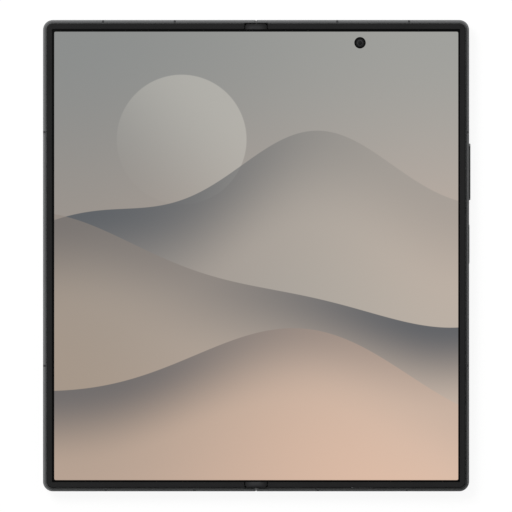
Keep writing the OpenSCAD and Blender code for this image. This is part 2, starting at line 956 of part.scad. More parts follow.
module leaf_screws() {
    color("silver")
        for (side = [-1, 1], y = block_screws)
            leaf_screw_place(side, y)
                pan_screw(fit - leaf_top + glass_t, screw_head_t);
}

// A wing plate: it carries the bending strip, turns on the bead along its outer edge and is
// cut away over the gears and springs
module wing_plate() {
    color(steel)
        difference() {
            union() {
                block([wing_in_x, -wing_half_len, wing_top - plate_t],
                      [bead_x, wing_half_len, wing_top]);
                along_y(-wing_half_len, wing_half_len)
                    translate([bead_x, bead_z])
                        circle(r = bead_r, $fn = 32);
            }
            both_modules()
                block([0, -journal_end - 0.2, -1],
                      [band + 0.2, stop_y + stop_t + 0.1, body_t + 1]);
        }
}

module wing_plate_right() {
    wing_plate();
}

module wing_plate_left() {
    mirror([1, 0, 0])
        wing_plate();
}

// The flat cable that joins the boards of the two halves across the spine
flex_w = 14;
flex_t = 0.12;
flex_y = 17;
flex_z = min(fold_z - 0.7, cradle_bot - flex_t / 2 - 0.06);
flex_x = cavity_x + 3.5;
module hinge_flex_cable() {
    color("darkgoldenrod")
        block([-flex_x, flex_y - flex_w / 2, flex_z - flex_t / 2],
              [flex_x, flex_y + flex_w / 2, flex_z + flex_t / 2]);
}

// Plan of the camera island, grown by a margin
module island_plan(margin) {
    r = island_w / 2 + margin;
    translate([island_x, lens_y[1]]) {
        square([2 * r, 2 * lens_pitch], center = true);
        for (side = [-1, 1])
            translate([0, side * lens_pitch])
                circle(r = r, $fn = 96);
    }
}

module back_glass() {
    color([0.20, 0.21, 0.22])
        difference() {
            rounded_plate(band + fit, glass_inset + fit, 0, glass_t,
                          corner_r - glass_inset - fit);
            translate([0, 0, -1])
                linear_extrude(height = 3)
                    island_plan(fit);
            translate([flash_x, lens_y[0], -1])
                cylinder(r = flash_r + fit, h = 3);
        }
}

module camera_island() {
    bevel = 0.3;
    color(frame_grey)
        difference() {
            union() {
                translate([0, 0, bevel - island_t])
                    linear_extrude(height = island_t + glass_t - bevel)
                        island_plan(0);
                translate([0, 0, -island_t])
                    linear_extrude(height = bevel + eps)
                        island_plan(-bevel);
            }
            for (y = lens_y)
                translate([island_x, y, -island_t - 1])
                    cylinder(r = barrel_r + 0.2, h = island_t + 3);
        }
}

module lens_rims() {
    color(frame_grey)
        for (y = lens_y)
            translate([island_x, y, -bump_h])
                rotate_extrude($fn = 96)
                    polygon([
                        [lens_bore_r, bump_h - island_t], [lens_rim_r, bump_h - island_t],
                        [lens_rim_r, 0.3], [lens_rim_r - 0.3, 0], [lens_seat_r, 0],
                        [lens_seat_r, 0.6], [lens_bore_r, 0.6]]);
}

module lens_glasses() {
    color(glass_black)
        for (y = lens_y)
            translate([island_x, y, 0.1 - bump_h])
                cylinder(r = lens_seat_r - 0.02, h = 0.5, $fn = 96);
}

module flash_lens() {
    color("ivory")
        translate([flash_x, lens_y[0], 0])
            cylinder(r = flash_r, h = glass_t);
}

// One rear camera: a square body behind a stepped round barrel
module rear_camera(i) {
    top = mid_z - fit;
    tip = 0.65 - bump_h;
    translate([island_x, lens_y[i], 0])
        color("dimgray") {
            block([-camera_body / 2, -camera_body / 2, glass_t + fit],
                  [camera_body / 2, camera_body / 2, top]);
            translate([0, 0, tip + 0.4])
                cylinder(r = barrel_r, h = glass_t + 0.1 - tip, $fn = 64);
            translate([0, 0, tip])
                difference() {
                    cylinder(r = barrel_r - 0.9, h = 0.5, $fn = 64);
                    translate([0, 0, -eps])
                        cylinder(r1 = 2.4, r2 = 1.4, h = 0.4, $fn = 64);
                }
        }
}

module selfie_camera() {
    top = display_top - 0.02;
    color(glass_black)
        translate([selfie_x, half_h - selfie_drop, 0]) {
            translate([0, 0, mid_z - 0.4])
                cylinder(r = selfie_r - 0.04, h = top - mid_z + 0.4);
            block([-2.8, -2.8, mid_z - 1.4], [2.8, 2.8, mid_z - 0.35]);
        }
}

// A flat cell with its wrapped end
module cell(low, high) {
    color(cell_grey) {
        block(low, high);
        block([low[0] + 1, high[1], low[2] + 0.3], [high[0] - 1, high[1] + 2.0, high[2] - 0.9]);
    }
}

comp_z = glass_t + 0.1;
comp_top = mid_z - 0.1;

module right_battery() {
    cell([cavity_x + 1, 26 - half_h, comp_z], [half_w - wall_t - 1.8, 3, comp_top]);
}

// The socket on a board that the hinge cable plugs on to
module cable_socket(z) {
    block([flex_x - 2.2, flex_y - flex_w / 2 + 0.5, z - eps],
          [flex_x, flex_y + flex_w / 2 - 0.5, flex_z - flex_t / 2]);
}

board_x1 = island_x - island_w / 2 - 1.5;
module main_board() {
    z = comp_z + 0.75;
    color(board_green)
        difference() {
            union() {
                block([cavity_x + 0.6, 8, z], [board_x1, cavity_h - 0.6, z + 0.5]);
                cable_socket(z + 0.5);
            }
            translate([flash_x, lens_y[0], 0])
                cylinder(r = flash_r + 0.4, h = body_t);
            translate([selfie_x, half_h - selfie_drop, 0])
                cube([6.4, 6.6, 2 * body_t], center = true);
        }
}

module board_shields() {
    z = comp_z + 1.25;
    color("silver") {
        block([cavity_x + 4, 27, z], [board_x1 - 2, 40, comp_top]);
        block([cavity_x + 4, 42, z], [board_x1 - 8, 54, comp_top]);
        block([cavity_x + 2, 10, comp_z], [board_x1 - 2, 50, comp_z + 0.75]);
    }
}

// The charging socket: a round-ended metal shell with a contact tongue
module port_socket() {
    y0 = port_set_back - half_h;
    y1 = port_depth - half_h;
    color("silver")
        difference() {
            end_stadium(y0, y1, port_x, port_mid_z,
                        port_w + 2 * port_wall, port_h + 2 * port_wall);
            end_stadium(y0 - 1, y1 - 0.6, port_x, port_mid_z, port_w, port_h);
        }
    color(glass_black)
        block([port_x - 3.1, y0 + 0.8, port_mid_z - 0.33],
              [port_x + 3.1, y1 - 0.5, port_mid_z + 0.33]);
}

module loudspeaker() {
    color("dimgray") {
        block([port_x + 7, 0.8 - cavity_h, comp_z], [half_w - wall_t - 2, 22 - half_h, comp_top]);
    }
}

module vibration_motor() {
    color("silver")
        block([cavity_x + 3, 1.5 - cavity_h, comp_z], [port_x - 8, 14 - half_h, comp_top]);
}

// Domes behind the side keys, on a bracket whose feet stand against the frame's wall
switch_x = key_stem_x - key_travel - 0.03;
module key_switches() {
    foot = 0.9;
    back_x = switch_x - 0.25;
    y0 = power_y - power_len / 2 - 2.0;
    y1 = volume_y + volume_len / 2 + 2.0;
    mid = (power_y + power_len / 2 + volume_y - volume_len / 2) / 2;
    color("silver") {
        for (y = [volume_y - volume_len / 4, volume_y + volume_len / 4, power_y])
            translate([switch_x, y, key_mid_z])
                rotate([0, -90, 0])
                    cylinder(r = 0.7, h = 0.25 + eps, $fn = 32);
        block([back_x - 0.3, y0, key_mid_z - 0.8], [back_x, y1, key_mid_z + 0.8]);
        for (y = [y0, mid - foot / 2, y1 - foot])
            block([back_x - eps, y, key_mid_z - 0.8],
                  [half_w - wall_t, y + foot, key_mid_z + 0.8]);
    }
}

// A side key: a cap that fills its slot, a wider flange that keeps it in, and stems
module side_key(y, length, proud, stems) {
    side_stadium(key_flange_x + key_flange_t - eps, half_w + proud - 0.12, y, key_mid_z,
                 length, key_w);
    side_stadium(half_w + proud - 0.12 - eps, half_w + proud, y, key_mid_z,
                 length - 0.24, key_w - 0.24);
    side_stadium(key_flange_x, key_flange_x + key_flange_t, y, key_mid_z,
                 length + 1.0, key_w);
    for (s = stems)
        translate([key_stem_x, y + s, key_mid_z])
            rotate([0, 90, 0])
                cylinder(r = 0.5, h = 0.6, $fn = 32);
}

module volume_key() {
    color(frame_grey)
        side_key(volume_y, volume_len, volume_proud, [-volume_len / 4, volume_len / 4]);
}

module power_key() {
    color(frame_grey)
        side_key(power_y, power_len, power_proud, [0]);
}

module cover_glass() {
    color(glass_black)
        mirror([1, 0, 0])
            rounded_plate(band + fit, glass_inset + fit, 0, glass_t,
                          corner_r - glass_inset - fit);
}

cover_camera_x = (band + half_w - glass_inset) / 2;
cover_display_t = 0.4;
module cover_display() {
    color("midnightblue")
        mirror([1, 0, 0])
            difference() {
                rounded_plate(cavity_x + 0.4, wall_t + 0.4, glass_t, glass_t + cover_display_t,
                              cavity_r);
                translate([cover_camera_x, half_h - 8, 0])
                    cylinder(r = 2.2, h = body_t);
            }
}

module cover_camera() {
    z = glass_t + fit;
    color("dimgray")
        translate([-cover_camera_x, half_h - 8, 0]) {
            translate([0, 0, z])
                cylinder(r = 1.9, h = 0.8);
            block([-3, -3, z + 0.6], [3, 3, comp_top]);
        }
}

inner_z = glass_t + cover_display_t + 0.1;
left_board_x1 = cavity_x + 13;

module left_battery() {
    mirror([1, 0, 0])
        cell([left_board_x1 + 1.4, tray_w / 2 + 1.4 - tray_drop, inner_z],
             [half_w - wall_t - 1.8, half_h - 20, comp_top]);
}

module left_board() {
    color(board_green)
        mirror([1, 0, 0]) {
            block([cavity_x + 0.6, 8, inner_z + 0.5],
                  [left_board_x1, half_h - 18, inner_z + 1.0]);
            block([cavity_x + 4, 30, inner_z + 1.0], [left_board_x1 - 1.5, 48, comp_top]);
            cable_socket(inner_z + 1.0);
        }
}

module earpiece() {
    color("dimgray")
        mirror([1, 0, 0])
            block([cover_camera_x + 9, half_h - 15, inner_z],
                  [half_w - wall_t - 1.5, cavity_h - 0.8, comp_top]);
}

// Turns what is drawn for the tray, out along +Y from mid width, to its place in the left side
module tray_place() {
    translate([-half_w, -tray_drop, tray_mid_z])
        rotate([0, 0, -90])
            children();
}

// The slot that the card tray slides into
module card_reader() {
    side = tray_w / 2 + 0.6;
    gap = tray_t / 2 + 0.1;
    color("silver")
        tray_place()
            difference() {
                block([-side, wall_t + 0.3, -gap - 0.15], [side, tray_len + 1.6, gap + 0.15]);
                block([-tray_w / 2 - 0.2, wall_t - 1, -gap],
                      [tray_w / 2 + 0.2, tray_len + 0.6, gap]);
            }
}

// The card tray: a face that closes its slot in the frame, with the eject hole, and a
// carrier with an opening for one card
module card_tray() {
    color(frame_grey)
        tray_place()
            difference() {
                union() {
                    block([-tray_w / 2, 0, -tray_face_h / 2],
                          [tray_w / 2, tray_face_t, tray_face_h / 2]);
                    block([-tray_w / 2 + 0.3, tray_face_t - eps, -tray_t / 2],
                          [tray_w / 2 - 0.3, tray_len, tray_t / 2]);
                }
                block([-4.4, 3.6, -tray_t], [4.4, 15.9, tray_t]);
                translate([5.3, 0, 0])
                    rotate([90, 0, 0])
                        cylinder(r = eject_r, h = 2 * tray_face_t + 0.5, center = true, $fn = 24);
            }
}

// Everything is modelled up from the back of the glass and lifted on to the lens rims
module lift() {
    translate([0, 0, bump_h])
        children();
}

lift() spine_cover();
lift() hinge_block_top();
lift() hinge_block_bottom();
lift() cam_followers();
lift() detent_springs();
lift() centre_plate();
lift() spine_cap_top();
lift() spine_cap_bottom();
lift() hinge_block_screws();
lift() display_fold_zone();
lift() hinge_flex_cable();
lift() timing_arm_right_top();
lift() timing_arm_right_bottom();
lift() timing_arm_left_top();
lift() timing_arm_left_bottom();
lift() idler_gears(gear_r, half_tooth);  // idler_gears_right
lift() idler_gears(-gear_r, 0);  // idler_gears_left
lift() wing_plate_right();
lift() wing_plate_left();
lift() right_frame();
lift() right_trim();
lift() right_display();
lift() right_leaf_top();
lift() right_leaf_bottom();
lift() leaf_screws();  // right_leaf_screws
lift() antenna_breaks();  // right_antenna_breaks
lift() back_glass();
lift() camera_island();
lift() lens_rims();
lift() lens_glasses();
lift() flash_lens();
lift() rear_camera(0);  // rear_camera_top
lift() rear_camera(1);  // rear_camera_middle
lift() rear_camera(2);  // rear_camera_bottom
lift() selfie_camera();
lift() right_battery();
lift() main_board();
lift() board_shields();
lift() port_socket();
lift() loudspeaker();
lift() vibration_motor();
lift() key_switches();
lift() left_frame();
lift() left_trim();
lift() left_display();
lift() left_leaf_top();
lift() left_leaf_bottom();
lift() mirror([1, 0, 0]) leaf_screws();  // left_leaf_screws
lift() mirror([1, 0, 0]) antenna_breaks();  // left_antenna_breaks
lift() cover_glass();
lift() cover_display();
lift() cover_camera();
lift() left_battery();
lift() left_board();
lift() earpiece();
lift() card_reader();
lift() card_tray();
lift() volume_key();
lift() power_key();
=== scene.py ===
# %% [markdown] # A folding phone, open on its back  The phone lies open on its rear lenses
# with the screen up, and the camera looks straight down at it. The packed frame already
# holds every rigid part at its true size. This lesson gives those parts their finishes,
# and adds what a solid model can't show well: the screen that bends, the picture on it,
# the cable in the hinge, and the small parts of the lenses and the charging port. The
# frame comes first.

import json
import math

import bmesh
import bpy
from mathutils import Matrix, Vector


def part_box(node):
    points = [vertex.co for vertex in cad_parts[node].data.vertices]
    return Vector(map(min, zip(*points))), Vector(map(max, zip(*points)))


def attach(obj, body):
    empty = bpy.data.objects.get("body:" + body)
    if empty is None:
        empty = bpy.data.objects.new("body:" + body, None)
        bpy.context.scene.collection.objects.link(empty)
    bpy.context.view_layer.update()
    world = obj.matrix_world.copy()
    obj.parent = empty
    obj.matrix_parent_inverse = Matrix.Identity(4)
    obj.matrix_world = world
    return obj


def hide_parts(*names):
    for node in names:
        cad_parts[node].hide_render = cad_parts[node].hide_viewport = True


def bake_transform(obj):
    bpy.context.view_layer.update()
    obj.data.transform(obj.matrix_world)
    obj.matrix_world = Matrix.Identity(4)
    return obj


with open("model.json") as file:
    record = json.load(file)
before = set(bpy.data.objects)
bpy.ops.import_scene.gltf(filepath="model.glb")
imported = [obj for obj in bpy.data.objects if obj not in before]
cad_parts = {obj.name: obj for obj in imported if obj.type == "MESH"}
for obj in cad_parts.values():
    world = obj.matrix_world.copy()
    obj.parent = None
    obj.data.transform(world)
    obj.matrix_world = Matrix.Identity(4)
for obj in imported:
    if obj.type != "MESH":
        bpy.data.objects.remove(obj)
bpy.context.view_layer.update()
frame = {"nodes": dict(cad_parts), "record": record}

# %% [markdown]
# ## Sizes that the pieces share
#
# Blender works in metres, and a phone is easier to think about in millimetres, so one
# factor turns one into the other. The other values are read off the CAD nodes where that
# is possible, because a piece that is measured from its neighbour always fits it.

# %% Shared sizes, in millimetres
MM = 0.001
HALF_WIDTH = 71.6
HALF_HEIGHT = 79.2


def box_mm(node):
    """The lowest and highest corner of a CAD node, in millimetres."""
    low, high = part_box(node)
    return low / MM, high / MM


def centre_of(low, high):
    """The middle of a box, seen from above."""
    return (low.x + high.x) / 2, (low.y + high.y) / 2


screen_low, screen_high = box_mm("right_display")
strip_low, strip_high = box_mm("display_fold_zone")
print("rigid part of the screen:", [round(v, 2) for v in (*screen_low, *screen_high)])
print("bending strip:", [round(v, 2) for v in (*strip_low, *strip_high)])

# %% [markdown]
# ## Tools for modelling
#
# An operator works on all that is selected, so the first helpers clear the selection and
# select one object alone. The others add a primitive at its size and place.

# %% Select and add
def deselect():
    bpy.ops.object.select_all(action="DESELECT")


def alone(obj):
    """Makes one object the only selected one, and the active one."""
    deselect()
    obj.select_set(True)
    bpy.context.view_layer.objects.active = obj


def settle(name):
    """Names the primitive just added and moves its place into its mesh."""
    obj = bpy.context.object
    bpy.ops.object.transform_apply(location=True, rotation=True, scale=True)
    obj.name = obj.data.name = name
    return obj


def slab(name, low, high):
    """A box between two corners."""
    deselect()
    middle = [(a + b) / 2 * MM for a, b in zip(low, high)]
    size = [(b - a) * MM for a, b in zip(low, high)]
    bpy.ops.mesh.primitive_cube_add(size=1, location=middle, scale=size)
    return settle(name)


def disc(name, centre, radius, z0, z1, sides):
    """An upright cylinder between two levels."""
    deselect()
    place = (centre[0] * MM, centre[1] * MM, (z0 + z1) / 2 * MM)
    bpy.ops.mesh.primitive_cylinder_add(
        vertices=sides, radius=radius * MM, depth=(z1 - z0) * MM, location=place)
    return settle(name)


print("primitives:", slab.__doc__, disc.__doc__)

# %% [markdown]
# In edit mode, faces and edges are picked by where they are, tested in millimetres, which
# still works when an earlier step changes their numbers. A solid is cut with another one
# by a Boolean modifier that is applied at once.

# %% Pick and cut
def pick(obj, kind, test):
    """Goes into edit mode with only the faces or edges selected that pass a test of their
    middle, in millimetres, and their direction."""
    alone(obj)
    bpy.ops.object.mode_set(mode="EDIT")
    bpy.context.tool_settings.mesh_select_mode = (False, kind == "edges", kind == "faces")
    bpy.ops.mesh.select_all(action="DESELECT")
    mesh = bmesh.from_edit_mesh(obj.data)
    for part in getattr(mesh, kind):
        if kind == "faces":
            middle, way = part.calc_center_median(), part.normal
        else:
            a, b = (v.co for v in part.verts)
            middle, way = (a + b) / 2, (b - a).normalized()
        if test(middle / MM, way):
            part.select_set(True)
    mesh.select_flush_mode()
    bmesh.update_edit_mesh(obj.data)


def edit_all(obj):
    """Goes into edit mode with everything selected."""
    alone(obj)
    bpy.ops.object.mode_set(mode="EDIT")
    bpy.ops.mesh.select_all(action="SELECT")


def leave_edit():
    bpy.ops.object.mode_set(mode="OBJECT")


def cut(obj, cutter):
    """Takes the cutter's shape out of a solid, and deletes the cutter."""
    alone(obj)
    change = obj.modifiers.new("cut", "BOOLEAN")
    change.operation, change.solver, change.object = "DIFFERENCE", "EXACT", cutter
    bpy.ops.object.modifier_apply(modifier=change.name)
    bpy.data.objects.remove(cutter)


print("edit mode tools:", *(f.__name__ for f in (pick, edit_all, leave_edit, cut)))

# %% [markdown]
# ## Shader maths as plain expressions
#
# A material is a graph of nodes. Dragging dozens of Math nodes is slow, and so is typing
# them, so a small class wraps one output socket. Adding or multiplying two of them adds
# the Math node, and one function makes any other node. The finish reads as a formula.

# %% A wrapped socket
class Wire:
    """One output of a shader node. Python's operators on it add Math nodes."""

    def __init__(self, socket):
        self.socket = socket

    @property
    def tree(self):
        return self.socket.id_data

    def maths(self, operation, *values):
        return add_node(
            self.tree, "ShaderNodeMath", {"operation": operation}, dict(enumerate(values)))

    def __add__(self, other):
        return self.maths("ADD", self, other)

    def __sub__(self, other):
        return self.maths("SUBTRACT", self, other)

    def __rsub__(self, other):
        return self.maths("SUBTRACT", other, self)

    def __mul__(self, other):
        return self.maths("MULTIPLY", self, other)

    def __truediv__(self, other):
        return self.maths("DIVIDE", self, other)

    __radd__ = __add__
    __rmul__ = __mul__

    def sine(self):
        return self.maths("SINE", self)

    def root(self):
        return self.maths("SQRT", self)

    def size(self):
        return self.maths("ABSOLUTE", self)

    def most(self, other):
        return self.maths("MAXIMUM", self, other)

    def least(self, other):
        return self.maths("MINIMUM", self, other)

    def fade(self, low, high, to_low=0.0, to_high=1.0):
        """Runs smoothly from to_low to to_high as this runs from low to high."""
        return add_node(
            self.tree, "ShaderNodeMapRange", {"interpolation_type": "SMOOTHSTEP"},
            {"Value": self, "From Min": low, "From Max": high,
             "To Min": to_low, "To Max": to_high})


print("a wrapped socket can:", *(name for name in vars(Wire) if name[0] != "_"))

# %% Any node
def add_node(tree, kind, settings=None, inputs=None, out=0):
    """A node with its settings made first, then the values or links of its sockets."""
    node = tree.nodes.new(kind)
    for name, value in (settings or {}).items():
        setattr(node, name, value)
    for name, value in (inputs or {}).items():
        if isinstance(value, Wire):
            tree.links.new(value.socket, node.inputs[name])
        else:
            node.inputs[name].default_value = value
    return Wire(node.outputs[out])


print("one function makes any node:", add_node.__name__)

# %% [markdown]
# A finish starts as a new material whose fixed numbers are set at once. What varies over
# the surface is linked to it afterwards. Two colours are mixed by a Mix node, because a
# Math node would work with their average and turn them grey.

# %% Materials and colours
MIX_FACTOR, MIX_A, MIX_B = 0, 6, 7
MIX_RESULT = 2


def blend_colour(tree, factor, a, b):
    """Mixes colour a towards colour b."""
    return add_node(
        tree, "ShaderNodeMix", {"data_type": "RGBA", "clamp_factor": True},
        {MIX_FACTOR: factor, MIX_A: a, MIX_B: b}, MIX_RESULT)


def scaled(colour, share):
    """A colour made darker or lighter by a factor."""
    return tuple(share * c for c in colour[:3]) + (1,)


def surface(name, **constants):
    """A new material. Returns it with its node tree and its Principled node, on which the
    named numbers and colours are already set."""
    material = bpy.data.materials.new(name)
    material.use_nodes = True
    tree = material.node_tree
    shader = tree.nodes["Principled BSDF"]
    for socket, value in constants.items():
        shader.inputs[socket.replace("_", " ")].default_value = value
    return material, tree, shader


def feed(node, socket, value):
    """Links a wrapped socket to one input of a node."""
    node.id_data.links.new(value.socket, node.inputs[socket])


print("materials from the frame:", len(bpy.data.materials))

# %% [markdown]
# Noise gives a surface its grain. It reads Object coordinates, which stay with the piece
# when it moves, and stretched along one axis it becomes lines. The same noise goes through
# a Bump node, so that the grain catches the light too.

# %% Places, noise and relief
def place_on(tree):
    """Object coordinates, as a wrapped vector."""
    return add_node(tree, "ShaderNodeTexCoord", out=3)


def axes_of(vector):
    """The three numbers of a wrapped vector."""
    parts = add_node(vector.tree, "ShaderNodeSeparateXYZ", None, {"Vector": vector})
    return [Wire(socket) for socket in parts.socket.node.outputs]


def grain(tree, scale, detail=2.0, rough=0.5, stretch=(1, 1, 1)):
    """Cloudy noise with a scale given in features per metre."""
    where = add_node(tree, "ShaderNodeMapping", None,
                     {"Vector": place_on(tree), "Scale": stretch})
    return add_node(tree, "ShaderNodeTexNoise", None,
                    {"Vector": where, "Scale": scale, "Detail": detail, "Roughness": rough})


def relief(shader, height, depth, strength):
    """Feeds a height through a Bump node into the shader's normal. Depth is in mm."""
    bump = add_node(shader.id_data, "ShaderNodeBump", None,
                    {"Height": height, "Distance": depth * MM, "Strength": strength})
    feed(shader, "Normal", bump)


print("tools for finishes:", *(f.__name__ for f in (place_on, axes_of, grain, relief)))

# %% [markdown]
# ## Anodised aluminium
#
# The frame, the spine, the keys, the tray and the camera island are blasted with fine
# beads and then dyed dark graphite. The dye makes the metal dark but leaves it metal, so
# Metallic is 1 and the colour does the darkening. The beads leave a very fine even grain,
# which a noise of a tenth of a millimetre gives, both as bump and as a little change in
# gloss. The spine's cover has the same finish, and its inner rim is painted black, which is
# painted shade for the dark corners beside the end caps.

# %% Anodised aluminium
GRAPHITE = (0.172, 0.175, 0.177, 1)
GRAPHITE_ROUGH = 0.19
SPINE_SHADE_FROM = 4.7


def anodised(name, shade_from=None):
    """Dyed aluminium. From a level in millimetres up, if one is given, it is painted black,
    which is painted shade.
    """
    material, tree, shader = surface(name, Metallic=1.0)
    beads = grain(tree, 9000, 3.0, 0.6)
    cloud = grain(tree, 60)
    if shade_from is None:
        colour = blend_colour(tree, cloud.fade(0.3, 0.7), scaled(GRAPHITE, 0.94), GRAPHITE)
    else:
        # Painted shade: from that level up the colour is black.
        rim = axes_of(place_on(tree))[2].fade(shade_from * MM, (shade_from + 0.1) * MM)
        colour = blend_colour(tree, rim, GRAPHITE, (0.003, 0.003, 0.003, 1))
    feed(shader, "Base Color", colour)
    feed(shader, "Roughness", GRAPHITE_ROUGH + 0.1 * beads + 0.03 * cloud)
    relief(shader, beads, 0.004, 0.35)
    return material


graphite = anodised("graphite_aluminium")
graphite_spine_painted_shade = anodised("graphite_spine_painted_shade", SPINE_SHADE_FROM)
print("graphite:", len(graphite.node_tree.nodes), "nodes")

# %% [markdown]
# ## Steel of the hinge
#
# Gears, arms, rails and plates are pressed or cut steel. Brushing leaves long fine lines,
# which are noise stretched along one axis. The springs, screws and shields are brighter,
# with a cloudy tin finish instead of lines.

# %% Steel
def brushed(name, colour, rough, stretch):
    material, tree, shader = surface(name, Metallic=1.0)
    lines = grain(tree, 700, 4.0, 0.7, stretch)
    dull = grain(tree, 150)
    feed(shader, "Base Color", blend_colour(
        tree, lines.fade(0.25, 0.75), scaled(colour, 0.8), colour))
    feed(shader, "Roughness", rough + 0.12 * lines + 0.08 * dull)
    relief(shader, lines, 0.01, 0.4)
    return material


hinge_steel = brushed("brushed_steel", (0.42, 0.42, 0.43, 1), 0.22, (1, 0.05, 1))
bright_steel = brushed("tinned_steel", (0.62, 0.62, 0.63, 1), 0.16, (0.6, 0.8, 0.6))
print("steels:", hinge_steel.name, "and", bright_steel.name)

# %% [markdown]
# ## Black plastics
#
# The raised trim round the screen is soft black plastic, matt on top. Its chamfers are a
# smoother black, and their deeper black is painted shade. The end caps of the spine are
# black below their cushions, which is painted shade, and paler in the middle of the
# cushions and darker towards their ends, which is a painted highlight. The antenna breaks
# are dyed to match the metal, and the camera bodies are blacker. They all share a fine
# moulded texture and a slightly uneven colour.

# %% Moulded plastic
def mottled(tree, colour):
    """A colour with faint darker clouds in it."""
    cloud = grain(tree, 90)
    return blend_colour(tree, cloud.fade(0.3, 0.7), scaled(colour, 0.86), colour)


def moulded(name, colour, spots, depth):
    material, tree, shader = surface(name, Specular_IOR_Level=0.35)
    texture = grain(tree, spots, 3.0, 0.55)
    feed(shader, "Base Color", mottled(tree, colour))
    feed(shader, "Roughness", 0.42 + 0.14 * texture)
    relief(shader, texture, depth, 0.5)
    return material


break_plastic = moulded("break_plastic", (0.030, 0.031, 0.032, 1), 6000, 0.004)
camera_plastic = moulded("camera_plastic", (0.012, 0.012, 0.013, 1), 3000, 0.006)
print("plastics:", break_plastic.name, "and", camera_plastic.name)

# %% Trim and end caps
TRIM_BLACK = (0.0106, 0.0106, 0.0108, 1)
TRIM_TOP = box_mm("right_trim")[1].z
CAP_HIGHLIGHT_CENTRE = (-0.2, 76.4)
CAP_SHADE_LEVEL = 5.72


def trim_with_shaded_chamfer():
    """Matt on top, and deep black just below the top, which is painted shade on the chamfers.
    """
    material, tree, shader = surface("matt_trim_painted_shade", Specular_IOR_Level=0.2)
    # Painted shade: the chamfers below the matt top are coloured near black.
    flat = axes_of(place_on(tree))[2].fade((TRIM_TOP - 0.03) * MM, (TRIM_TOP - 0.008) * MM)
    feed(shader, "Base Color", blend_colour(
        tree, flat, (0.0008, 0.0008, 0.0008, 1), mottled(tree, TRIM_BLACK)))
    feed(shader, "Roughness", 0.34 + 0.22 * flat)
    relief(shader, grain(tree, 5000, 3.0, 0.55), 0.006, 0.5)
    return material


def cap_with_painted_light():
    """Black below the cushion, which is painted shade. On the cushion it is paler in the
    middle and darker towards the ends, which is a painted highlight.
    """
    material, tree, shader = surface("painted_light_cap", Specular_IOR_Level=0.2)
    texture = grain(tree, 5000, 3.0, 0.55)
    x, y, z = axes_of(place_on(tree))
    # Painted highlight: the cushion is paler in its middle and darker towards its ends.
    middle = (x - CAP_HIGHLIGHT_CENTRE[0] * MM).size().fade(1.0 * MM, 3.8 * MM, 1, 0)
    along = (y.size() - CAP_HIGHLIGHT_CENTRE[1] * MM).size().fade(0.3 * MM, 1.5 * MM, 1, 0)
    # Painted shade: below the cushion the cap is black.
    cushion = z.fade(CAP_SHADE_LEVEL * MM, (CAP_SHADE_LEVEL + 0.14) * MM)
    feed(shader, "Base Color", blend_colour(
        tree, cushion * (0.25 + 0.75 * middle * along), (0.0015, 0.0015, 0.0015, 1),
        (0.028, 0.028, 0.029, 1)))
    feed(shader, "Roughness", 0.45 + 0.14 * texture)
    relief(shader, texture, 0.004, 0.5)
    return material


shaded_trim_plastic = trim_with_shaded_chamfer()
painted_light_cap = cap_with_painted_light()
print("trim and caps:", shaded_trim_plastic.name, "and", painted_light_cap.name)

# %% [markdown]
# ## The two outer glasses
#
# The glass over the rear is etched on its outer side, so it is dark and silky, with a
# faint pearly speckle. The cover screen's glass is polished, and since the cover screen is
# off, it is black all over, only a little less black where the panel lies.

# %% Rear glass and cover glass
def frosted():
    material, tree, shader = surface("frosted_glass", IOR=1.5, Metallic=0.25)
    etch = grain(tree, 12000, rough=0.6)
    speckle = grain(tree, 4000, 1.0)
    feed(shader, "Base Color", blend_colour(
        tree, speckle.fade(0.55, 0.75), (0.052, 0.055, 0.058, 1), (0.072, 0.076, 0.080, 1)))
    feed(shader, "Roughness", 0.33 + 0.1 * etch)
    relief(shader, etch, 0.002, 0.4)
    return material


def polished(low, high):
    """Black glass that shows a panel behind it between two corners, in millimetres."""
    material, tree, shader = surface("cover_glass", IOR=1.5)
    x, y = axes_of(place_on(tree))[:2]
    edge = 0.15 * MM
    inside = (x.fade(low[0] * MM - edge, low[0] * MM)
              * x.fade(high[0] * MM, high[0] * MM + edge, 1, 0)
              * y.fade(low[1] * MM - edge, low[1] * MM)
              * y.fade(high[1] * MM, high[1] * MM + edge, 1, 0))
    smears = grain(tree, 40, 3.0)
    feed(shader, "Base Color", blend_colour(
        tree, inside, (0.0030, 0.0030, 0.0034, 1), (0.0065, 0.0065, 0.0075, 1)))
    feed(shader, "Roughness", 0.03 + 0.05 * smears.fade(0.45, 0.8))
    return material


panel_low, panel_high = box_mm("cover_display")
rear_glass = frosted()
cover_glass = polished(panel_low, panel_high)
print("cover panel:", [round(v, 1) for v in (*panel_low, *panel_high)])

# %% [markdown]
# ## Parts inside
#
# Cells, boards, shields and the flat cable are hidden in a closed phone, but they show
# when someone takes the model apart. A board gets its solder mask with the faint relief
# of tracks, a cell its dark foil wrap, and the cable its amber film with copper lines.
# The panel behind the cover screen is plain dark glass.

# %% Boards and cells
def circuit_board():
    material, tree, shader = surface("solder_mask", Coat_Roughness=0.2)
    tracks = add_node(tree, "ShaderNodeTexBrick", {"offset": 0.37},
                      {"Vector": place_on(tree), "Scale": 420, "Mortar Size": 0.03,
                       "Color1": (0, 0, 0, 1), "Color2": (0.4, 0.4, 0.4, 1),
                       "Mortar": (1, 1, 1, 1)}, 1)
    feed(shader, "Base Color", blend_colour(
        tree, tracks, (0.006, 0.035, 0.024, 1), (0.02, 0.09, 0.06, 1)))
    feed(shader, "Roughness", 0.32 + 0.1 * grain(tree, 800))
    relief(shader, tracks, 0.02, 0.5)
    return material


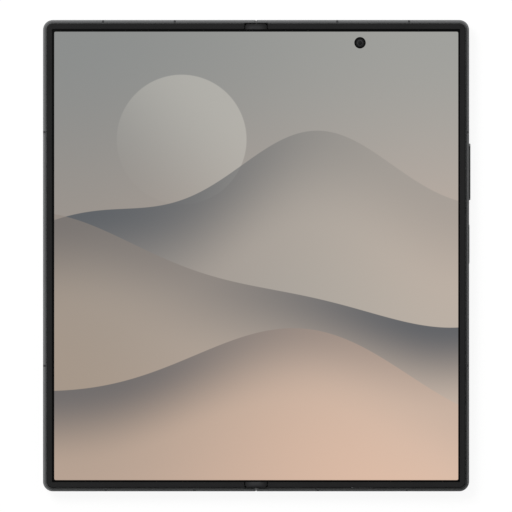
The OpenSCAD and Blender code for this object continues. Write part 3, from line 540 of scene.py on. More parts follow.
def cell_wrap():
    material, tree, shader = surface("cell_wrap", Metallic=0.35)
    wrinkle = grain(tree, 260, 4.0, 0.6)
    feed(shader, "Base Color", blend_colour(
        tree, wrinkle.fade(0.35, 0.7), (0.028, 0.028, 0.032, 1), (0.05, 0.05, 0.056, 1)))
    feed(shader, "Roughness", 0.3 + 0.2 * wrinkle)
    relief(shader, wrinkle, 0.05, 0.6)
    return material


board = circuit_board()
cell = cell_wrap()
print("inner finishes:", board.name, "and", cell.name)

# %% Cable film and panel glass
LINE_PITCH = 0.55


def cable_film():
    """Copper lines run along X, across the fold."""
    material, tree, shader = surface("cable_film")
    y = axes_of(place_on(tree))[1]
    line = (y * (2 * math.pi / (LINE_PITCH * MM))).sine().fade(-0.1, 0.35)
    feed(shader, "Base Color", blend_colour(
        tree, line, (0.22, 0.09, 0.015, 1), (0.50, 0.22, 0.07, 1)))
    feed(shader, "Metallic", 0.75 * line)
    feed(shader, "Roughness", 0.42 - 0.12 * line)
    relief(shader, line, 0.02, 0.5)
    return material


PANEL_BLACK = (0.010, 0.010, 0.014, 1)


def panel_glass():
    material, tree, shader = surface("panel_back", IOR=1.5)
    cloud = grain(tree, 300)
    feed(shader, "Base Color", blend_colour(
        tree, cloud.fade(0.3, 0.7), PANEL_BLACK, scaled(PANEL_BLACK, 1.12)))
    feed(shader, "Roughness", 0.2 + 0.06 * cloud)
    return material


film = cable_film()
panel_back = panel_glass()
print("inner finishes:", film.name, "and", panel_back.name)

# %% [markdown]
# ## The picture on the screen
#
# The screen is lit, so its picture is light that it gives off and not a colour that it
# reflects. The picture here is a plain one: bands of soft dunes in warm and slate greys
# under a pale disc. It could be an image file, but a formula stays sharp at any distance
# and needs no file. In each dune the crest is a sum of sines, and the shade is darkest at
# the crest and fades below it.
#
# Screen colours are usually written as three numbers up to 255, but a shader works with
# light, where half as bright is half the number. One helper turns the first into the
# second.

# %% A dune
def tone(red, green, blue):
    """A display colour, 0 to 255, as linear light with alpha."""
    def linear(value):
        value /= 255
        return value / 12.92 if value <= 0.04045 else ((value + 0.055) / 1.055) ** 2.4
    return (linear(red), linear(green), linear(blue), 1.0)


CREST_SHADE = tone(80, 86, 93)


def dune(x, y, colour, crest, fall, shade, left, right):
    """Paints one dune over a colour, below its crest. Shade gives two places across the
    screen and how dark the crest is at each."""
    below = crest - y
    x0, x1, dark0, dark1 = shade
    body = blend_colour(x.tree, x.fade(-68, 68), left, right)
    tint = blend_colour(x.tree, below.fade(0, 2.0 * fall, 0.4, 0.95), colour, body)
    tint = blend_colour(x.tree, below.fade(0, fall, 1, 0) * x.fade(x0, x1, dark0, dark1),
                        tint, CREST_SHADE)
    return blend_colour(x.tree, below.fade(-0.12, 0.12), colour, tint)


print("shade of a crest:", [round(v, 3) for v in CREST_SHADE[:3]])

# %% The whole picture
DISC_CENTRE, DISC_RADIUS = (-25.0, 39.0), 21.8


def picture(x, y):
    """The picture's colour at a place on the screen, in millimetres from its middle."""
    across = x.fade(-70, 70)
    top = blend_colour(x.tree, across, tone(139, 141, 140), tone(160, 160, 156))
    bottom = blend_colour(x.tree, across, tone(176, 157, 142), tone(216, 187, 168))
    colour = blend_colour(x.tree, y.fade(-80, 78), bottom, top)

    from_x, from_y = x - DISC_CENTRE[0], y - DISC_CENTRE[1]
    away = (from_x * from_x + from_y * from_y).root()
    pale = (away.fade(DISC_RADIUS - 0.2, DISC_RADIUS + 0.2, 1, 0)
            * (from_x + from_y).fade(-40, 30, 0.0, 0.5))
    colour = blend_colour(x.tree, pale, colour, tone(199, 196, 188))

    far = 22.0 + 15.0 * (x / 31.0 + 0.9).sine() + 5.0 * (x / 13.0).sine()
    middle = -6.0 + 17.0 * (x / 38.0 + 3.4).sine() + 4.0 * (x / 17.0).sine()
    near = -38.0 + 12.0 * (x / 27.0 + 1.6).sine() + 5.0 * (x / 19.0).sine()
    colour = dune(x, y, colour, far, 34, (-60, 50, 0.85, 0.2),
                  tone(146, 145, 142), tone(182, 174, 164))
    colour = dune(x, y, colour, middle, 30, (-60, 60, 0.2, 0.9),
                  tone(166, 151, 137), tone(206, 184, 168))
    return dune(x, y, colour, near, 26, (-50, 60, 0.75, 0.1),
                tone(188, 165, 149), tone(224, 190, 168))


print("pale disc:", 2 * DISC_RADIUS, "mm across")

# %% [markdown]
# The screen bends, so the picture can't read Object coordinates, which would slide as the
# screen folds. It reads the piece's own UV map, which stays with the surface. Round the lit
# panel lies a black border with slightly round corners, and round the camera a thin ring
# stays unlit.

# %% The lit screen
LIT_CENTRE = (0.065, -0.08)
LIT_HALF = (67.865, 75.32)
LIT_CORNER = 0.5
UNLIT_CENTRE = (34.93, 71.53)
UNLIT_RADIUS = 1.93
BLUR = 0.03


def lit_area(x, y):
    """1 where the panel is lit, and 0 in its border and round the camera."""
    over_x = (x - LIT_CENTRE[0]).size() - (LIT_HALF[0] - LIT_CORNER)
    over_y = (y - LIT_CENTRE[1]).size() - (LIT_HALF[1] - LIT_CORNER)
    round_x, round_y = over_x.most(0), over_y.most(0)
    edge = (round_x * round_x + round_y * round_y).root() + over_x.most(over_y).least(0)
    hole_x, hole_y = x - UNLIT_CENTRE[0], y - UNLIT_CENTRE[1]
    hole = (hole_x * hole_x + hole_y * hole_y).root()
    return ((edge - LIT_CORNER).fade(-BLUR, BLUR, 1, 0)
            * hole.fade(UNLIT_RADIUS - BLUR, UNLIT_RADIUS + BLUR))


def lit_screen():
    material, tree, shader = surface(
        "lit_screen", Base_Color=(0.0015, 0.0015, 0.0016, 1), Specular_IOR_Level=0.3, IOR=1.45,
        Emission_Strength=1.0)
    u, v = axes_of(add_node(tree, "ShaderNodeUVMap", {"uv_map": "screen"}))[:2]
    x = (u - 0.5) * (2 * HALF_WIDTH)
    y = (v - 0.5) * (2 * HALF_HEIGHT)
    feed(shader, "Emission Color", blend_colour(
        tree, lit_area(x, y), (0.0012, 0.0012, 0.0013, 1), picture(x, y)))
    feed(shader, "Roughness", 0.06 + 0.04 * grain(tree, 30, 3.0))
    return material


screen_finish = lit_screen()
print("picture:", len(screen_finish.node_tree.nodes), "nodes")

# %% [markdown]
# ## Finishes on the CAD nodes
#
# The record names a material slot for each node, so one table from slot to finish covers
# them all, and a node that is added later can't be forgotten.

# %% Give each node its finish
FINISH = {
    "anodised_frame": graphite, "hinge_steel": hinge_steel, "bright_steel": bright_steel,
    "black_trim": shaded_trim_plastic, "folding_display": screen_finish, "black_glass": cover_glass,
    "frosted_glass": rear_glass, "cover_panel": panel_back, "antenna_plastic": break_plastic,
    "flash_plastic": camera_plastic, "camera_plastic": camera_plastic, "cell_foil": cell,
    "board_laminate": board, "flex_film": film,
}
for row in frame["record"]["subparts"]:
    node = frame["nodes"][row["node"]]
    node.data.materials.clear()
    node.data.materials.append(FINISH[row["material_slot"]])
# The end caps get the black with the painted highlight and the painted shade.
for name in ("spine_cap_top", "spine_cap_bottom"):
    frame["nodes"][name].data.materials[0] = painted_light_cap
# The spine's cover gets the graphite with painted shade on its rim.
frame["nodes"]["spine_cover"].data.materials[0] = graphite_spine_painted_shade

# %% [markdown] ## The folding screen The real screen is one sheet that lies flat over both
# halves and bends over the spine. The frame holds it as two rigid plates and a strip. Here
# each half of it is one sheet up to the fold line, where the two meet. The part that would
# bend starts a little nearer the fold than the strip's edge, so that a closed screen would
# clear the plates under it, but nothing here bends it. The sheet starts as a box. Its outer
# corners are bevelled, the two notches for the spine's end caps and the hole for the screen
# camera are cut out, and then bisects give the part meant to bend enough columns to bend
# smoothly. The bisects come last, because a cut through many columns would leave slivers.

# %% Outline of half the screen
STRIP_HALF_WIDTH = 4.5
BEND_START = 4.35
SHEET_CORNER = 1.65


def screen_half(name):
    sheet = slab(name, (0, screen_low.y, screen_low.z), screen_high)
    pick(sheet, "edges", lambda p, way: p.x > 60 and abs(way.z) > 0.9)
    bpy.ops.mesh.bevel(offset=SHEET_CORNER * MM, segments=10, affect="EDGES")
    leave_edit()
    notch = STRIP_HALF_WIDTH - 0.02
    for side in (-1, 1):
        inner, outer = side * strip_high.y, side * (HALF_HEIGHT + 1)
        cut(sheet, slab("notch", (-1, min(inner, outer), screen_low.z - 1),
                        (notch, max(inner, outer), screen_high.z + 1)))
    return sheet


plain = screen_half("screen_sheet_left")
print("half of the screen, uncut:", len(plain.data.polygons), "faces")

# %% [markdown]
# The halves differ only in the camera's hole, so the plain half is copied, the hole is cut
# in the copy, and the plain one is mirrored. Mirroring turns the faces inside out, so the
# normals are worked out again.

# %% Copies
def copied(piece, name, shift=(0, 0, 0)):
    """A moved copy of a piece, with its own mesh."""
    copy = piece.copy()
    copy.data = piece.data.copy()
    copy.name = copy.data.name = name
    bpy.context.scene.collection.objects.link(copy)
    alone(copy)
    copy.location = [v * MM for v in shift]
    bpy.ops.object.transform_apply(location=True, rotation=False, scale=False)
    return copy


def mirrored(piece, name):
    """A copy on the other side of the fold line."""
    copy = copied(piece, name)
    copy.scale.x = -1
    bpy.ops.object.transform_apply(location=True, rotation=True, scale=True)
    edit_all(copy)
    bpy.ops.mesh.normals_make_consistent(inside=False)
    leave_edit()
    return copy


print("copies are", copied.__name__, "or", mirrored.__name__)

# %% Both halves of the screen
def add_columns(sheet, width, count):
    """Cuts a sheet along equally spaced lines beside the fold."""
    for i in range(1, count + 1):
        edit_all(sheet)
        bpy.ops.mesh.bisect(plane_co=(width * MM * i / count, 0, 0), plane_no=(1, 0, 0))
        leave_edit()


SCREEN_COLUMNS = 28
CUT_CENTRE, CUT_RADIUS = (34.9, HALF_HEIGHT - 7.63), 1.87
right_sheet = copied(plain, "screen_sheet_right")
cut(right_sheet, disc("hole", CUT_CENTRE, CUT_RADIUS, screen_low.z - 1, screen_high.z + 1, 72))
add_columns(right_sheet, BEND_START, SCREEN_COLUMNS)
add_columns(plain, BEND_START, SCREEN_COLUMNS)
left_sheet = mirrored(plain, "screen_sheet_left_half")
bpy.data.objects.remove(plain)
left_sheet.name = left_sheet.data.name = "screen_sheet_left"
print("right half of the screen:", len(right_sheet.data.polygons), "faces")

# %% Map the screen and put it on its bodies
def map_screen(sheet):
    """A UV map that runs from 0 to 1 over the whole open phone."""
    layers = sheet.data.uv_layers
    layers.new(name="screen")
    for other in [u for u in layers if u.name != "screen"]:
        layers.remove(other)
    for loop in sheet.data.loops:
        p = sheet.data.vertices[loop.vertex_index].co / MM
        layers["screen"].data[loop.index].uv = (p.x / (2 * HALF_WIDTH) + 0.5,
                                                p.y / (2 * HALF_HEIGHT) + 0.5)


def dress(piece, material, slot, *nodes, body=None):
    """Gives a piece its material, and its body if it is rigid, and hides the nodes that it
    stands for. The slot is not used."""
    piece.data.materials.clear()
    piece.data.materials.append(material)
    if body:
        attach(piece, body)
    if nodes:
        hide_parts(*nodes)
    print(piece.name, "has", len(piece.data.polygons), "faces")


for sheet, side, half, display in ((right_sheet, 1, "right_half", "right_display"),
                                   (left_sheet, -1, "left_half", "left_display")):
    map_screen(sheet)
    side * BEND_START * MM
    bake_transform(sheet)
    dress(sheet, screen_finish, "folding_display", display, "display_fold_zone")

# %% [markdown]
# ## The cable across the hinge
#
# A flat cable joins the two boards. When the phone folds, it bends round the spine as the
# screen does, and it carries a little slack for that. A flat strip would look like a ruler,
# so each half is a strip with its columns lifted into a shallow wave inside the spine. A
# small bevel takes the sharpness off its long edges.

# %% Flat cable
CABLE_COLUMNS = 24
WAVE_DEPTH, WAVE_WIDTH = 0.12, 3.2
cable_low, cable_high = box_mm("hinge_flex_cable")


def soften(obj, width, segments=2, angle=35):
    """Rounds the sharp edges with a bevel, and smooths the shading between them."""
    alone(obj)
    change = obj.modifiers.new("soften", "BEVEL")
    change.width, change.segments = width * MM, segments
    change.limit_method, change.angle_limit = "ANGLE", math.radians(angle)
    bpy.ops.object.modifier_apply(modifier=change.name)
    bpy.ops.object.shade_smooth_by_angle(angle=math.radians(angle))
    return obj


def cable_half(name):
    strip = slab(name, (0, cable_low.y, cable_low.z), cable_high)
    add_columns(strip, STRIP_HALF_WIDTH, CABLE_COLUMNS)
    for i in range(CABLE_COLUMNS + 1):
        place = STRIP_HALF_WIDTH * i / CABLE_COLUMNS
        drop = WAVE_DEPTH * math.sin(math.pi * min(1, place / WAVE_WIDTH)) ** 2
        pick(strip, "edges", lambda p, way: abs(p.x - place) < 0.02 and abs(way.x) < 0.1)
        bpy.ops.transform.translate(value=(0, 0, -drop * MM))
        leave_edit()
    return soften(strip, 0.02, 1, 60)


right_cable = cable_half("hinge_cable_right")
for strip, side, half in ((right_cable, 1, "right_half"),
                          (mirrored(right_cable, "hinge_cable_left"), -1, "left_half")):
    side * STRIP_HALF_WIDTH * MM
    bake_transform(strip)
    dress(strip, film, "flex_film", "hinge_flex_cable")

# %% [markdown]
# ## The rear lenses
#
# Each rear camera looks out through a thin sapphire window, which is clear in the middle
# and printed black round it. Behind it the barrel steps inwards in narrow rings that stop
# stray light, and at the bottom of the steps sits a small coated lens, which is what makes
# a phone's camera look deep. A body of revolution suits all three: a circle is extruded
# ring by ring along a profile. One of each is made and then copied to the other lenses.

# %% Where the lenses are
window_low, window_high = box_mm("lens_glasses")
window_radius = (window_high.x - window_low.x) / 2
lens_x, middle_y = centre_of(window_low, window_high)
lens_centres = [(lens_x, y) for y in (
    window_high.y - window_radius, middle_y, window_low.y + window_radius)]


def away_from(tree, centre):
    """Distance from an upright axis, in millimetres."""
    flat = add_node(tree, "ShaderNodeMapping", None,
                    {"Vector": place_on(tree), "Scale": (1, 1, 0)})
    gap = add_node(tree, "ShaderNodeVectorMath", {"operation": "DISTANCE"},
                   {0: flat, 1: (centre[0] * MM, centre[1] * MM, 0)}, 1)
    return gap * (1 / MM)


def nearest_lens(tree):
    """Distance from the nearest lens's axis, in millimetres."""
    near = away_from(tree, lens_centres[0])
    for centre in lens_centres[1:]:
        near = near.least(away_from(tree, centre))
    return near


print("lens centres:", [tuple(round(v, 2) for v in c) for c in lens_centres])

# %% Window glass and coated lens
CLEAR_RADIUS = 3.2


def window_glass():
    """Clear in the middle, and printed black round it."""
    material, tree, shader = surface("window_glass", IOR=1.6, Transmission_Weight=1.0)
    printed = nearest_lens(tree).fade(CLEAR_RADIUS - BLUR, CLEAR_RADIUS + BLUR)
    feed(shader, "Base Color", blend_colour(
        tree, printed, (0.93, 0.95, 0.96, 1), (0.0015, 0.0015, 0.002, 1)))
    feed(shader, "Roughness", 0.02 + 0.03 * grain(tree, 60, 3.0))
    return material


def lens_with_painted_sheen():
    """Dark glass with a painted sheen of its coat: violet in the middle, green at the rim."""
    material, tree, shader = surface(
        "lens_with_painted_sheen", IOR=1.7, Specular_IOR_Level=0.6, Coat_Weight=0.6, Coat_Roughness=0.03)
    # Painted sheen: the coat's violet and green, by the distance from the axis.
    rim = nearest_lens(tree).fade(0.4, 1.2)
    feed(shader, "Base Color", blend_colour(
        tree, rim, (0.020, 0.007, 0.050, 1), (0.006, 0.034, 0.028, 1)))
    feed(shader, "Roughness", 0.04 + 0.03 * grain(tree, 900))
    return material


sapphire = window_glass()
lens_sheen_finish = lens_with_painted_sheen()
print("lens finishes:", sapphire.name, "and", lens_sheen_finish.name)

# %% Turn a profile
TURNED_SIDES = 64


def turned(name, centre, profile):
    """A body of revolution round an upright axis. A circle is extruded ring by ring along a
    profile of (radius, level) pairs. A profile whose ends have no radius closes at its two
    poles, and any other closes on its own first ring."""
    poles = profile[0][0] == 0
    rings = profile[1:-1] if poles else [*profile, profile[0]]
    middle = [centre[0] * MM, centre[1] * MM]
    deselect()
    bpy.ops.mesh.primitive_circle_add(
        vertices=TURNED_SIDES, radius=rings[0][0] * MM, location=(*middle, rings[0][1] * MM))
    obj = settle(name)
    edit_all(obj)
    if poles:
        close_pole(profile[0][1], rings[0][1])
    for (r0, z0), (r1, z1) in zip(rings, rings[1:]):
        bpy.ops.mesh.extrude_edges_move(
            TRANSFORM_OT_translate={"value": (0, 0, (z1 - z0) * MM)})
        bpy.ops.transform.resize(
            value=(r1 / r0, r1 / r0, 1), center_override=(*middle, z1 * MM))
    if poles:
        close_pole(profile[-1][1], rings[-1][1])
    bpy.ops.mesh.select_all(action="SELECT")
    bpy.ops.mesh.remove_doubles(threshold=0.002 * MM)
    bpy.ops.mesh.normals_make_consistent(inside=False)
    leave_edit()
    bpy.ops.object.shade_smooth_by_angle(angle=math.radians(30))
    return obj


def close_pole(pole_level, ring_level):
    """Closes the selected ring with a fan to one point, and selects the ring again."""
    mesh = bmesh.from_edit_mesh(bpy.context.object.data)
    ring = [v for v in mesh.verts if v.select]
    bpy.ops.mesh.extrude_edges_move(
        TRANSFORM_OT_translate={"value": (0, 0, (pole_level - ring_level) * MM)})
    bpy.ops.mesh.merge(type="CENTER")
    bpy.ops.mesh.select_all(action="DESELECT")
    for vert in ring:
        vert.select_set(True)
    for edge in bmesh.from_edit_mesh(bpy.context.object.data).edges:
        edge.select_set(all(v.select for v in edge.verts))


print("a profile is turned with", TURNED_SIDES, "sides")

# %% Windows, stepped rings and lenses
z0, z1 = window_low.z, window_high.z
r = window_radius
WINDOW = [(0, z0), (r - 0.16, z0), (r - 0.04, z0 + 0.06), (r, z0 + 0.14), (r, z1 - 0.04),
          (r - 0.04, z1), (0, z1)]
STEPS = [(2.26, 0.68), (1.96, 0.68), (1.93, 0.70), (1.93, 0.78), (1.71, 0.78), (1.68, 0.80),
         (1.68, 0.88), (1.46, 0.88), (1.43, 0.90), (1.43, 0.98), (1.30, 0.98), (1.30, 1.02),
         (1.38, 1.02)]
DOME = [(0, 0.79), (0.35, 0.797), (0.70, 0.82), (1.0, 0.865), (1.2, 0.915), (1.27, 0.96),
        (1.27, 1.03), (0, 1.03)]
NAMES = ("top", "middle", "bottom")

for kind, profile, material, slot, nodes in (
        ("lens_window", WINDOW, sapphire, "black_glass", ["lens_glasses"]),
        ("lens_steps", STEPS, camera_plastic, "camera_plastic", []),
        ("lens_element", DOME, lens_sheen_finish, "black_glass", [])):
    first = turned(f"{kind}_{NAMES[0]}", lens_centres[0], profile)
    copies = [copied(first, f"{kind}_{n}", (0, c[1] - lens_centres[0][1], 0))
              for n, c in zip(NAMES[1:], lens_centres[1:])]
    for piece in (first, *copies):
        dress(piece, material, slot, *nodes, body="right_half")

# %% [markdown]
# ## The flash
#
# The flash is a disc of clear resin with ring-shaped grooves on its outer face, which throw
# the light forward, and a yellow emitter shows through its middle. The grooves are part of
# the turned profile. The yellow is a colour that depends on the distance from the axis.

# %% Flash
GROOVES, GROOVE_DEPTH = (1.9, 1.5, 1.1, 0.7), 0.07
flash_low, flash_high = box_mm("flash_lens")
flash_radius = (flash_high.x - flash_low.x) / 2
flash_centre = centre_of(flash_low, flash_high)


def flash_resin():
    material, tree, shader = surface(
        "flash_resin", IOR=1.5, Coat_Weight=0.4, Coat_Roughness=0.05)
    away = away_from(tree, flash_centre)
    feed(shader, "Base Color", blend_colour(
        tree, away.fade(0.7, 1.5), (0.83, 0.70, 0.22, 1), (0.74, 0.73, 0.68, 1)))
    feed(shader, "Roughness", 0.12 + 0.08 * grain(tree, 900))
    return material


z0, z1 = flash_low.z, flash_high.z
r = flash_radius
grooves = [(q, z0 + depth) for ring in GROOVES
           for q, depth in ((ring, 0.0), (ring - 0.05, GROOVE_DEPTH))]
flash = turned("flash_window", flash_centre, [
    (0, z1), (r, z1), (r, z0 + 0.06), (r - 0.06, z0), *grooves, (0.35, z0), (0, z0)])
dress(flash, flash_resin(), "flash_plastic", "flash_lens", body="right_half")

# %% [markdown]
# ## The screen camera
#
# Through the hole in the screen one sees a black ring, and inside it the slightly lighter
# glass of the lens with one faint ring more. The piece is turned too, and a square body
# under the screen is joined to it. It replaces the plain solid of the frame.

# %% Screen camera
selfie_low, selfie_high = box_mm("selfie_camera")
selfie_centre = centre_of(selfie_low, selfie_high)
top, seat = selfie_high.z, selfie_low.z + 1.05
GLASS_RADIUS, RING_INNER, RING_OUTER = 1.41, 0.75, 0.93


def joined(name, pieces):
    """Several pieces made into one."""
    deselect()
    for piece in pieces:
        piece.select_set(True)
    bpy.context.view_layer.objects.active = pieces[0]
    bpy.ops.object.join()
    pieces[0].name = pieces[0].data.name = name
    return pieces[0]


def camera_black():
    """Black outside, and inside it slightly lighter glass with one dark ring."""
    material, tree, shader = surface("camera_black", IOR=1.5, Specular_IOR_Level=0.4)
    away = away_from(tree, selfie_centre)
    inner = away.fade(GLASS_RADIUS - 0.05, GLASS_RADIUS + 0.05, 1, 0)
    ring = (away.fade(RING_INNER - BLUR, RING_INNER + BLUR)
            * away.fade(RING_OUTER - BLUR, RING_OUTER + BLUR, 1, 0))
    glass = blend_colour(tree, ring, (0.012, 0.012, 0.0125, 1), (0.006, 0.006, 0.007, 1))
    feed(shader, "Base Color", blend_colour(tree, inner, (0.0016, 0.0016, 0.0016, 1), glass))
    feed(shader, "Roughness", 0.08 + 0.06 * grain(tree, 700))
    return material


barrel = turned("barrel", selfie_centre, [
    (0, seat), (1.81, seat), (1.81, top - 0.03), (1.78, top), (1.46, top), (1.40, top - 0.08),
    (1.0, top - 0.08), (0.95, top - 0.11), (0.9, top - 0.08), (0.6, top - 0.055),
    (0.3, top - 0.045), (0, top - 0.04)])
house = slab("house", selfie_low, (selfie_high.x, selfie_high.y, seat + 0.01))
screen_camera = joined("screen_camera", [barrel, soften(house, 0.15)])
dress(screen_camera, camera_black(), "camera_plastic", "selfie_camera", body="right_half")

# %% [markdown]
# ## Inside the charging port
#
# A steel shell lies in the mouth, and from its back a thin black tongue reaches forward
# with a row of gilt contacts on each face. The shell and a plain tongue are in the frame.
# The sleeve here is a softened box that just covers that tongue. One contact is made, with
# eased ends, and its copies are joined into one piece.

# %% Tongue of the port
PORT_X, PORT_Z = 35.4, 4.0
TONGUE_FRONT, TONGUE_BACK = -77.85, -72.75
TONGUE_HALF_WIDTH, TONGUE_HALF_THICK = 3.13, 0.36
tongue = slab("port_tongue",
              (PORT_X - TONGUE_HALF_WIDTH, TONGUE_FRONT, PORT_Z - TONGUE_HALF_THICK),
              (PORT_X + TONGUE_HALF_WIDTH, TONGUE_BACK, PORT_Z + TONGUE_HALF_THICK))
pick(tongue, "edges", lambda p, way: abs(way.z) > 0.9 and p.y < TONGUE_FRONT + 1)
bpy.ops.mesh.bevel(offset=0.3 * MM, segments=4, affect="EDGES")
leave_edit()
dress(soften(tongue, 0.08), camera_plastic, "camera_plastic", body="right_half")

# %% Gilt contacts
CONTACTS, CONTACT_PITCH = 12, 0.5
CONTACT_HALF_WIDTH, CONTACT_LENGTH = 0.125, 2.5
CONTACT_SUNK, CONTACT_PROUD = 0.02, 0.03


def gilt():
    material, tree, shader = surface("gilt_contacts", Metallic=1.0)
    wear = grain(tree, 2500)
    feed(shader, "Base Color", blend_colour(
        tree, wear.fade(0.35, 0.7), (0.62, 0.38, 0.12, 1), (0.80, 0.55, 0.22, 1)))
    feed(shader, "Roughness", 0.22 + 0.1 * wear)
    return material


first_x = PORT_X - CONTACT_PITCH * (CONTACTS - 1) / 2
face = PORT_Z + TONGUE_HALF_THICK
contact = slab("contact",
               (first_x - CONTACT_HALF_WIDTH, TONGUE_FRONT + 0.5, face - CONTACT_SUNK),
               (first_x + CONTACT_HALF_WIDTH, TONGUE_FRONT + 0.5 + CONTACT_LENGTH,
                face + CONTACT_PROUD))
soften(contact, 0.02, 1)
upper = joined("port_contacts_upper", [
    contact, *[copied(contact, "contact", (CONTACT_PITCH * i, 0, 0))
               for i in range(1, CONTACTS)]])
lower = copied(upper, "port_contacts_lower",
               (0, 0, CONTACT_SUNK - CONTACT_PROUD - 2 * TONGUE_HALF_THICK))
dress(joined("port_contacts", [upper, lower]), gilt(), "bright_steel", body="right_half")

# %% [markdown]
# ## Mesh in the sound holes
#
# Behind each sound hole a fine woven mesh keeps dust out. Modelled wire by wire it would
# have thousands of faces that nobody can see, so each hole gets a small shallow dish, and
# the weave is relief in its material: two sines at right angles.

# %% Woven mesh
WEAVE_PITCH = 0.09


def woven_mesh():
    material, tree, shader = surface("woven_mesh", Metallic=0.8)
    x, y, z = axes_of(place_on(tree))
    turns = 2 * math.pi / (WEAVE_PITCH * MM)
    weave = (x * turns).sine() * (z * turns).sine()
    feed(shader, "Base Color", blend_colour(
        tree, weave.fade(-0.3, 0.4), (0.010, 0.010, 0.011, 1), (0.06, 0.06, 0.065, 1)))
    feed(shader, "Roughness", 0.5 - 0.1 * weave)
    relief(shader, weave, 0.03, 0.7)
    return material


mesh_finish = woven_mesh()
print("mesh finish:", mesh_finish.name)

# %% Dishes in the sound holes
SOUND_HOLES, SOUND_PITCH, SOUND_LEVEL = 7, 1.6, 4.1
DISH_RADIUS, DISH_THICK, DISH_INSET = 0.385, 0.12, 0.72


def sound_meshes(name, first_x, side):
    """A dish in each of a row of holes, just inside the top or bottom edge."""
    dish = disc("dish", (0, 0), DISH_RADIUS, 0, DISH_THICK, 24)
    pick(dish, "faces", lambda p, way: way.z > 0.9)
    bpy.ops.mesh.inset(thickness=0.1 * MM, depth=-0.06 * MM)
    leave_edit()
    alone(dish)
    dish.rotation_euler.x = math.radians(-90 * side)
    dish.location = (first_x * MM, side * (HALF_HEIGHT - DISH_INSET) * MM, SOUND_LEVEL * MM)
    bpy.ops.object.transform_apply(location=True, rotation=True, scale=True)
    step = math.copysign(SOUND_PITCH, first_x)
    return joined(name, [dish, *[copied(dish, "dish", (step * i, 0, 0))
                                 for i in range(1, SOUND_HOLES)]])


for name, first_x, side, half in (("loudspeaker_mesh", 46.0, -1, "right_half"),
                                  ("earpiece_mesh", -58.0, 1, "left_half")):
    dress(sound_meshes(name, first_x, side), mesh_finish, "bright_steel", body=half)

# %% [markdown]
# ## Floor, light and camera
#
# The phone was shown on white with soft light from the top and the left. A white
# background should come from the background's own colour, and not from more light on the
# phone, so the floor shines by itself where the camera sees it, and only a small part of
# its brightness is light from the lamps, which the phone shades. Under the phone it
# doesn't shine, or the thin gap at the fold would show as a bright line. In the metal's
# reflections it is pale towards the top left and dim towards the bottom right.
#
# Seen from below the floor is clear, and it keeps no light off the phone's rear, so that
# the rear can be looked at too.

# %% Floor finish
FLOOR_GREY = (0.12, 0.12, 0.12, 1)
FLOOR_LIGHT = 0.9


def light_path(tree):
    """1 for what the camera sees straight, and 1 for what glass and metal reflect."""
    rays = add_node(tree, "ShaderNodeLightPath").socket.node.outputs
    return (Wire(rays["Is Camera Ray"]),
            Wire(rays["Is Glossy Ray"]).most(Wire(rays["Is Transmission Ray"])))


def floor_material():
    material, tree, shader = surface(
        "pale_floor", Base_Color=FLOOR_GREY, Roughness=0.9, Specular_IOR_Level=0.0,
        Emission_Strength=1.0)
    seen, reflected = light_path(tree)
    shade = add_node(tree, "ShaderNodeAmbientOcclusion", None, {"Distance": 12 * MM}, 1)
    x, y = axes_of(place_on(tree))[:2]
    glow = (0.45 + 4.2 * y - 2.9 * x).most(0.2).least(1.1) * shade.fade(0.45, 1.05)
    feed(shader, "Emission Color",
         seen * shade.fade(0.33, 0.5) * FLOOR_LIGHT + reflected * glow)
    below = Wire(add_node(tree, "ShaderNodeNewGeometry").socket.node.outputs["Backfacing"])
    under = reflected * shade.fade(0.25, 0.42, 1, 0)
    mix = add_node(tree, "ShaderNodeMixShader", None, {
        0: below.most(under), 1: Wire(shader.outputs[0]),
        2: add_node(tree, "ShaderNodeBsdfTransparent")})
    feed(tree.nodes["Material Output"], "Surface", mix)
    return material


floor_finish = floor_material()
print("floor finish:", len(floor_finish.node_tree.nodes), "nodes")

# %% Floor
FLOOR_DROP = 0.02
deselect()
bpy.ops.mesh.primitive_plane_add(size=6, location=(0, 0, -FLOOR_DROP * MM))
floor = settle("floor")
floor.visible_diffuse = floor.visible_shadow = False
floor.data.materials.append(floor_finish)
print("floor", round(floor.dimensions.x, 2), "m wide")

# %% [markdown]
# The sky gives the soft light that falls on everything, and in reflections it is a studio:
# dark straight overhead, where the camera looks down through a gap in the white ceiling,
# and brighter towards the top left than towards the bottom right. Without that gap the
# black border of the screen would mirror the ceiling and turn grey. Below the horizon the
# reflections are dimmer, as they are over a dark bench.

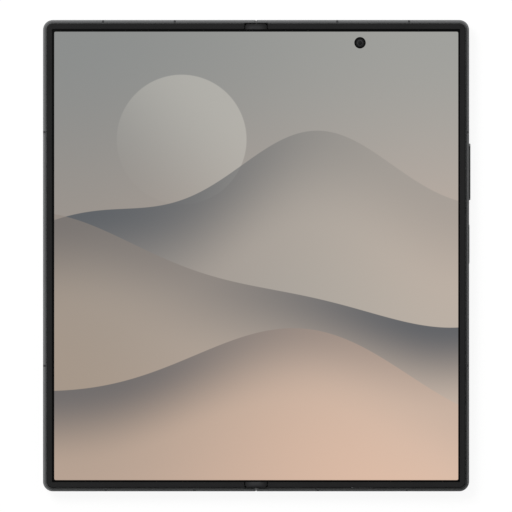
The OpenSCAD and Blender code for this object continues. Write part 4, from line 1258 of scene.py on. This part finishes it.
# %% Sky
sky = bpy.data.worlds.new("studio")
bpy.context.scene.world = sky
sky.use_nodes = True
sky_tree = sky.node_tree
seen, reflected = light_path(sky_tree)
x, y, z = axes_of(add_node(sky_tree, "ShaderNodeTexCoord"))
upper_left = 0.8 * y - 0.6 * x
gap = (z + 0.15 * (-1 * upper_left).most(0)).fade(0.94, 0.985)
overhead = (0.06 + 1.8 * upper_left).most(0.02).least(0.4)
ceiling = (0.95 + 0.25 * upper_left) * upper_left.fade(-0.65, -0.35, 0.45, 1)
above_horizon = z.fade(-0.85, -0.15, 0.3, 1)
studio = (gap * overhead + (1 - gap) * ceiling) * above_horizon
soft = (0.45 + 0.45 * upper_left).most(0.1)
strength = seen + (1 - seen) * (reflected * studio + (1 - reflected) * soft)
background = sky_tree.nodes["Background"]
background.inputs["Color"].default_value = (1, 1, 1, 1)
feed(background, "Strength", strength)
print("sky has", len(sky_tree.nodes), "nodes")

# %% [markdown]
# Two large soft lamps give the light its direction: a strong one from the upper left, and
# a weak one that lifts the shadow on the right. They are kept out of reflections, where
# they would show as bright squares on the screen.

# %% Lamps
LAMP_SIZE = 0.6


def lamp(name, place, watts):
    """A square soft lamp that faces the phone and isn't mirrored in it."""
    data = bpy.data.lights.new(name, "AREA")
    data.size, data.energy = LAMP_SIZE, watts
    obj = bpy.data.objects.new(name, data)
    bpy.context.scene.collection.objects.link(obj)
    obj.location = place
    obj.rotation_euler = (-Vector(place)).to_track_quat("-Z", "Y").to_euler()
    obj.visible_glossy = False
    return obj


lamps = [lamp("upper_left", (-0.55, 0.65, 1.1), 11.5),
         lamp("right", (0.9, 0.1, 0.8), 1.5)]
print("lamps:", {o.name: o.data.energy for o in lamps})

# %% [markdown]
# The photograph has almost no perspective, so the camera is far away with a long lens. It
# looks straight down on the middle of the phone. The Standard view shows the colours as
# they are, because a filmic one would grey the white.

# %% Camera
FRAME_WIDTH = 172.03
CAMERA_SHIFT = (-0.018, -0.116)
LENS, SENSOR = 400.0, 36.0
distance = LENS * FRAME_WIDTH / SENSOR
deselect()
bpy.ops.object.camera_add(
    location=[v * MM for v in (*CAMERA_SHIFT, screen_high.z + distance)], rotation=(0, 0, 0))
camera = bpy.context.object
camera.data.lens = LENS
camera.data.sensor_width = SENSOR
camera.data.clip_end = 50
bpy.context.scene.camera = camera
bpy.context.scene.view_settings.view_transform = "Standard"
print("camera", round(camera.location.z, 3), "m up")

# %% [markdown] ## The end
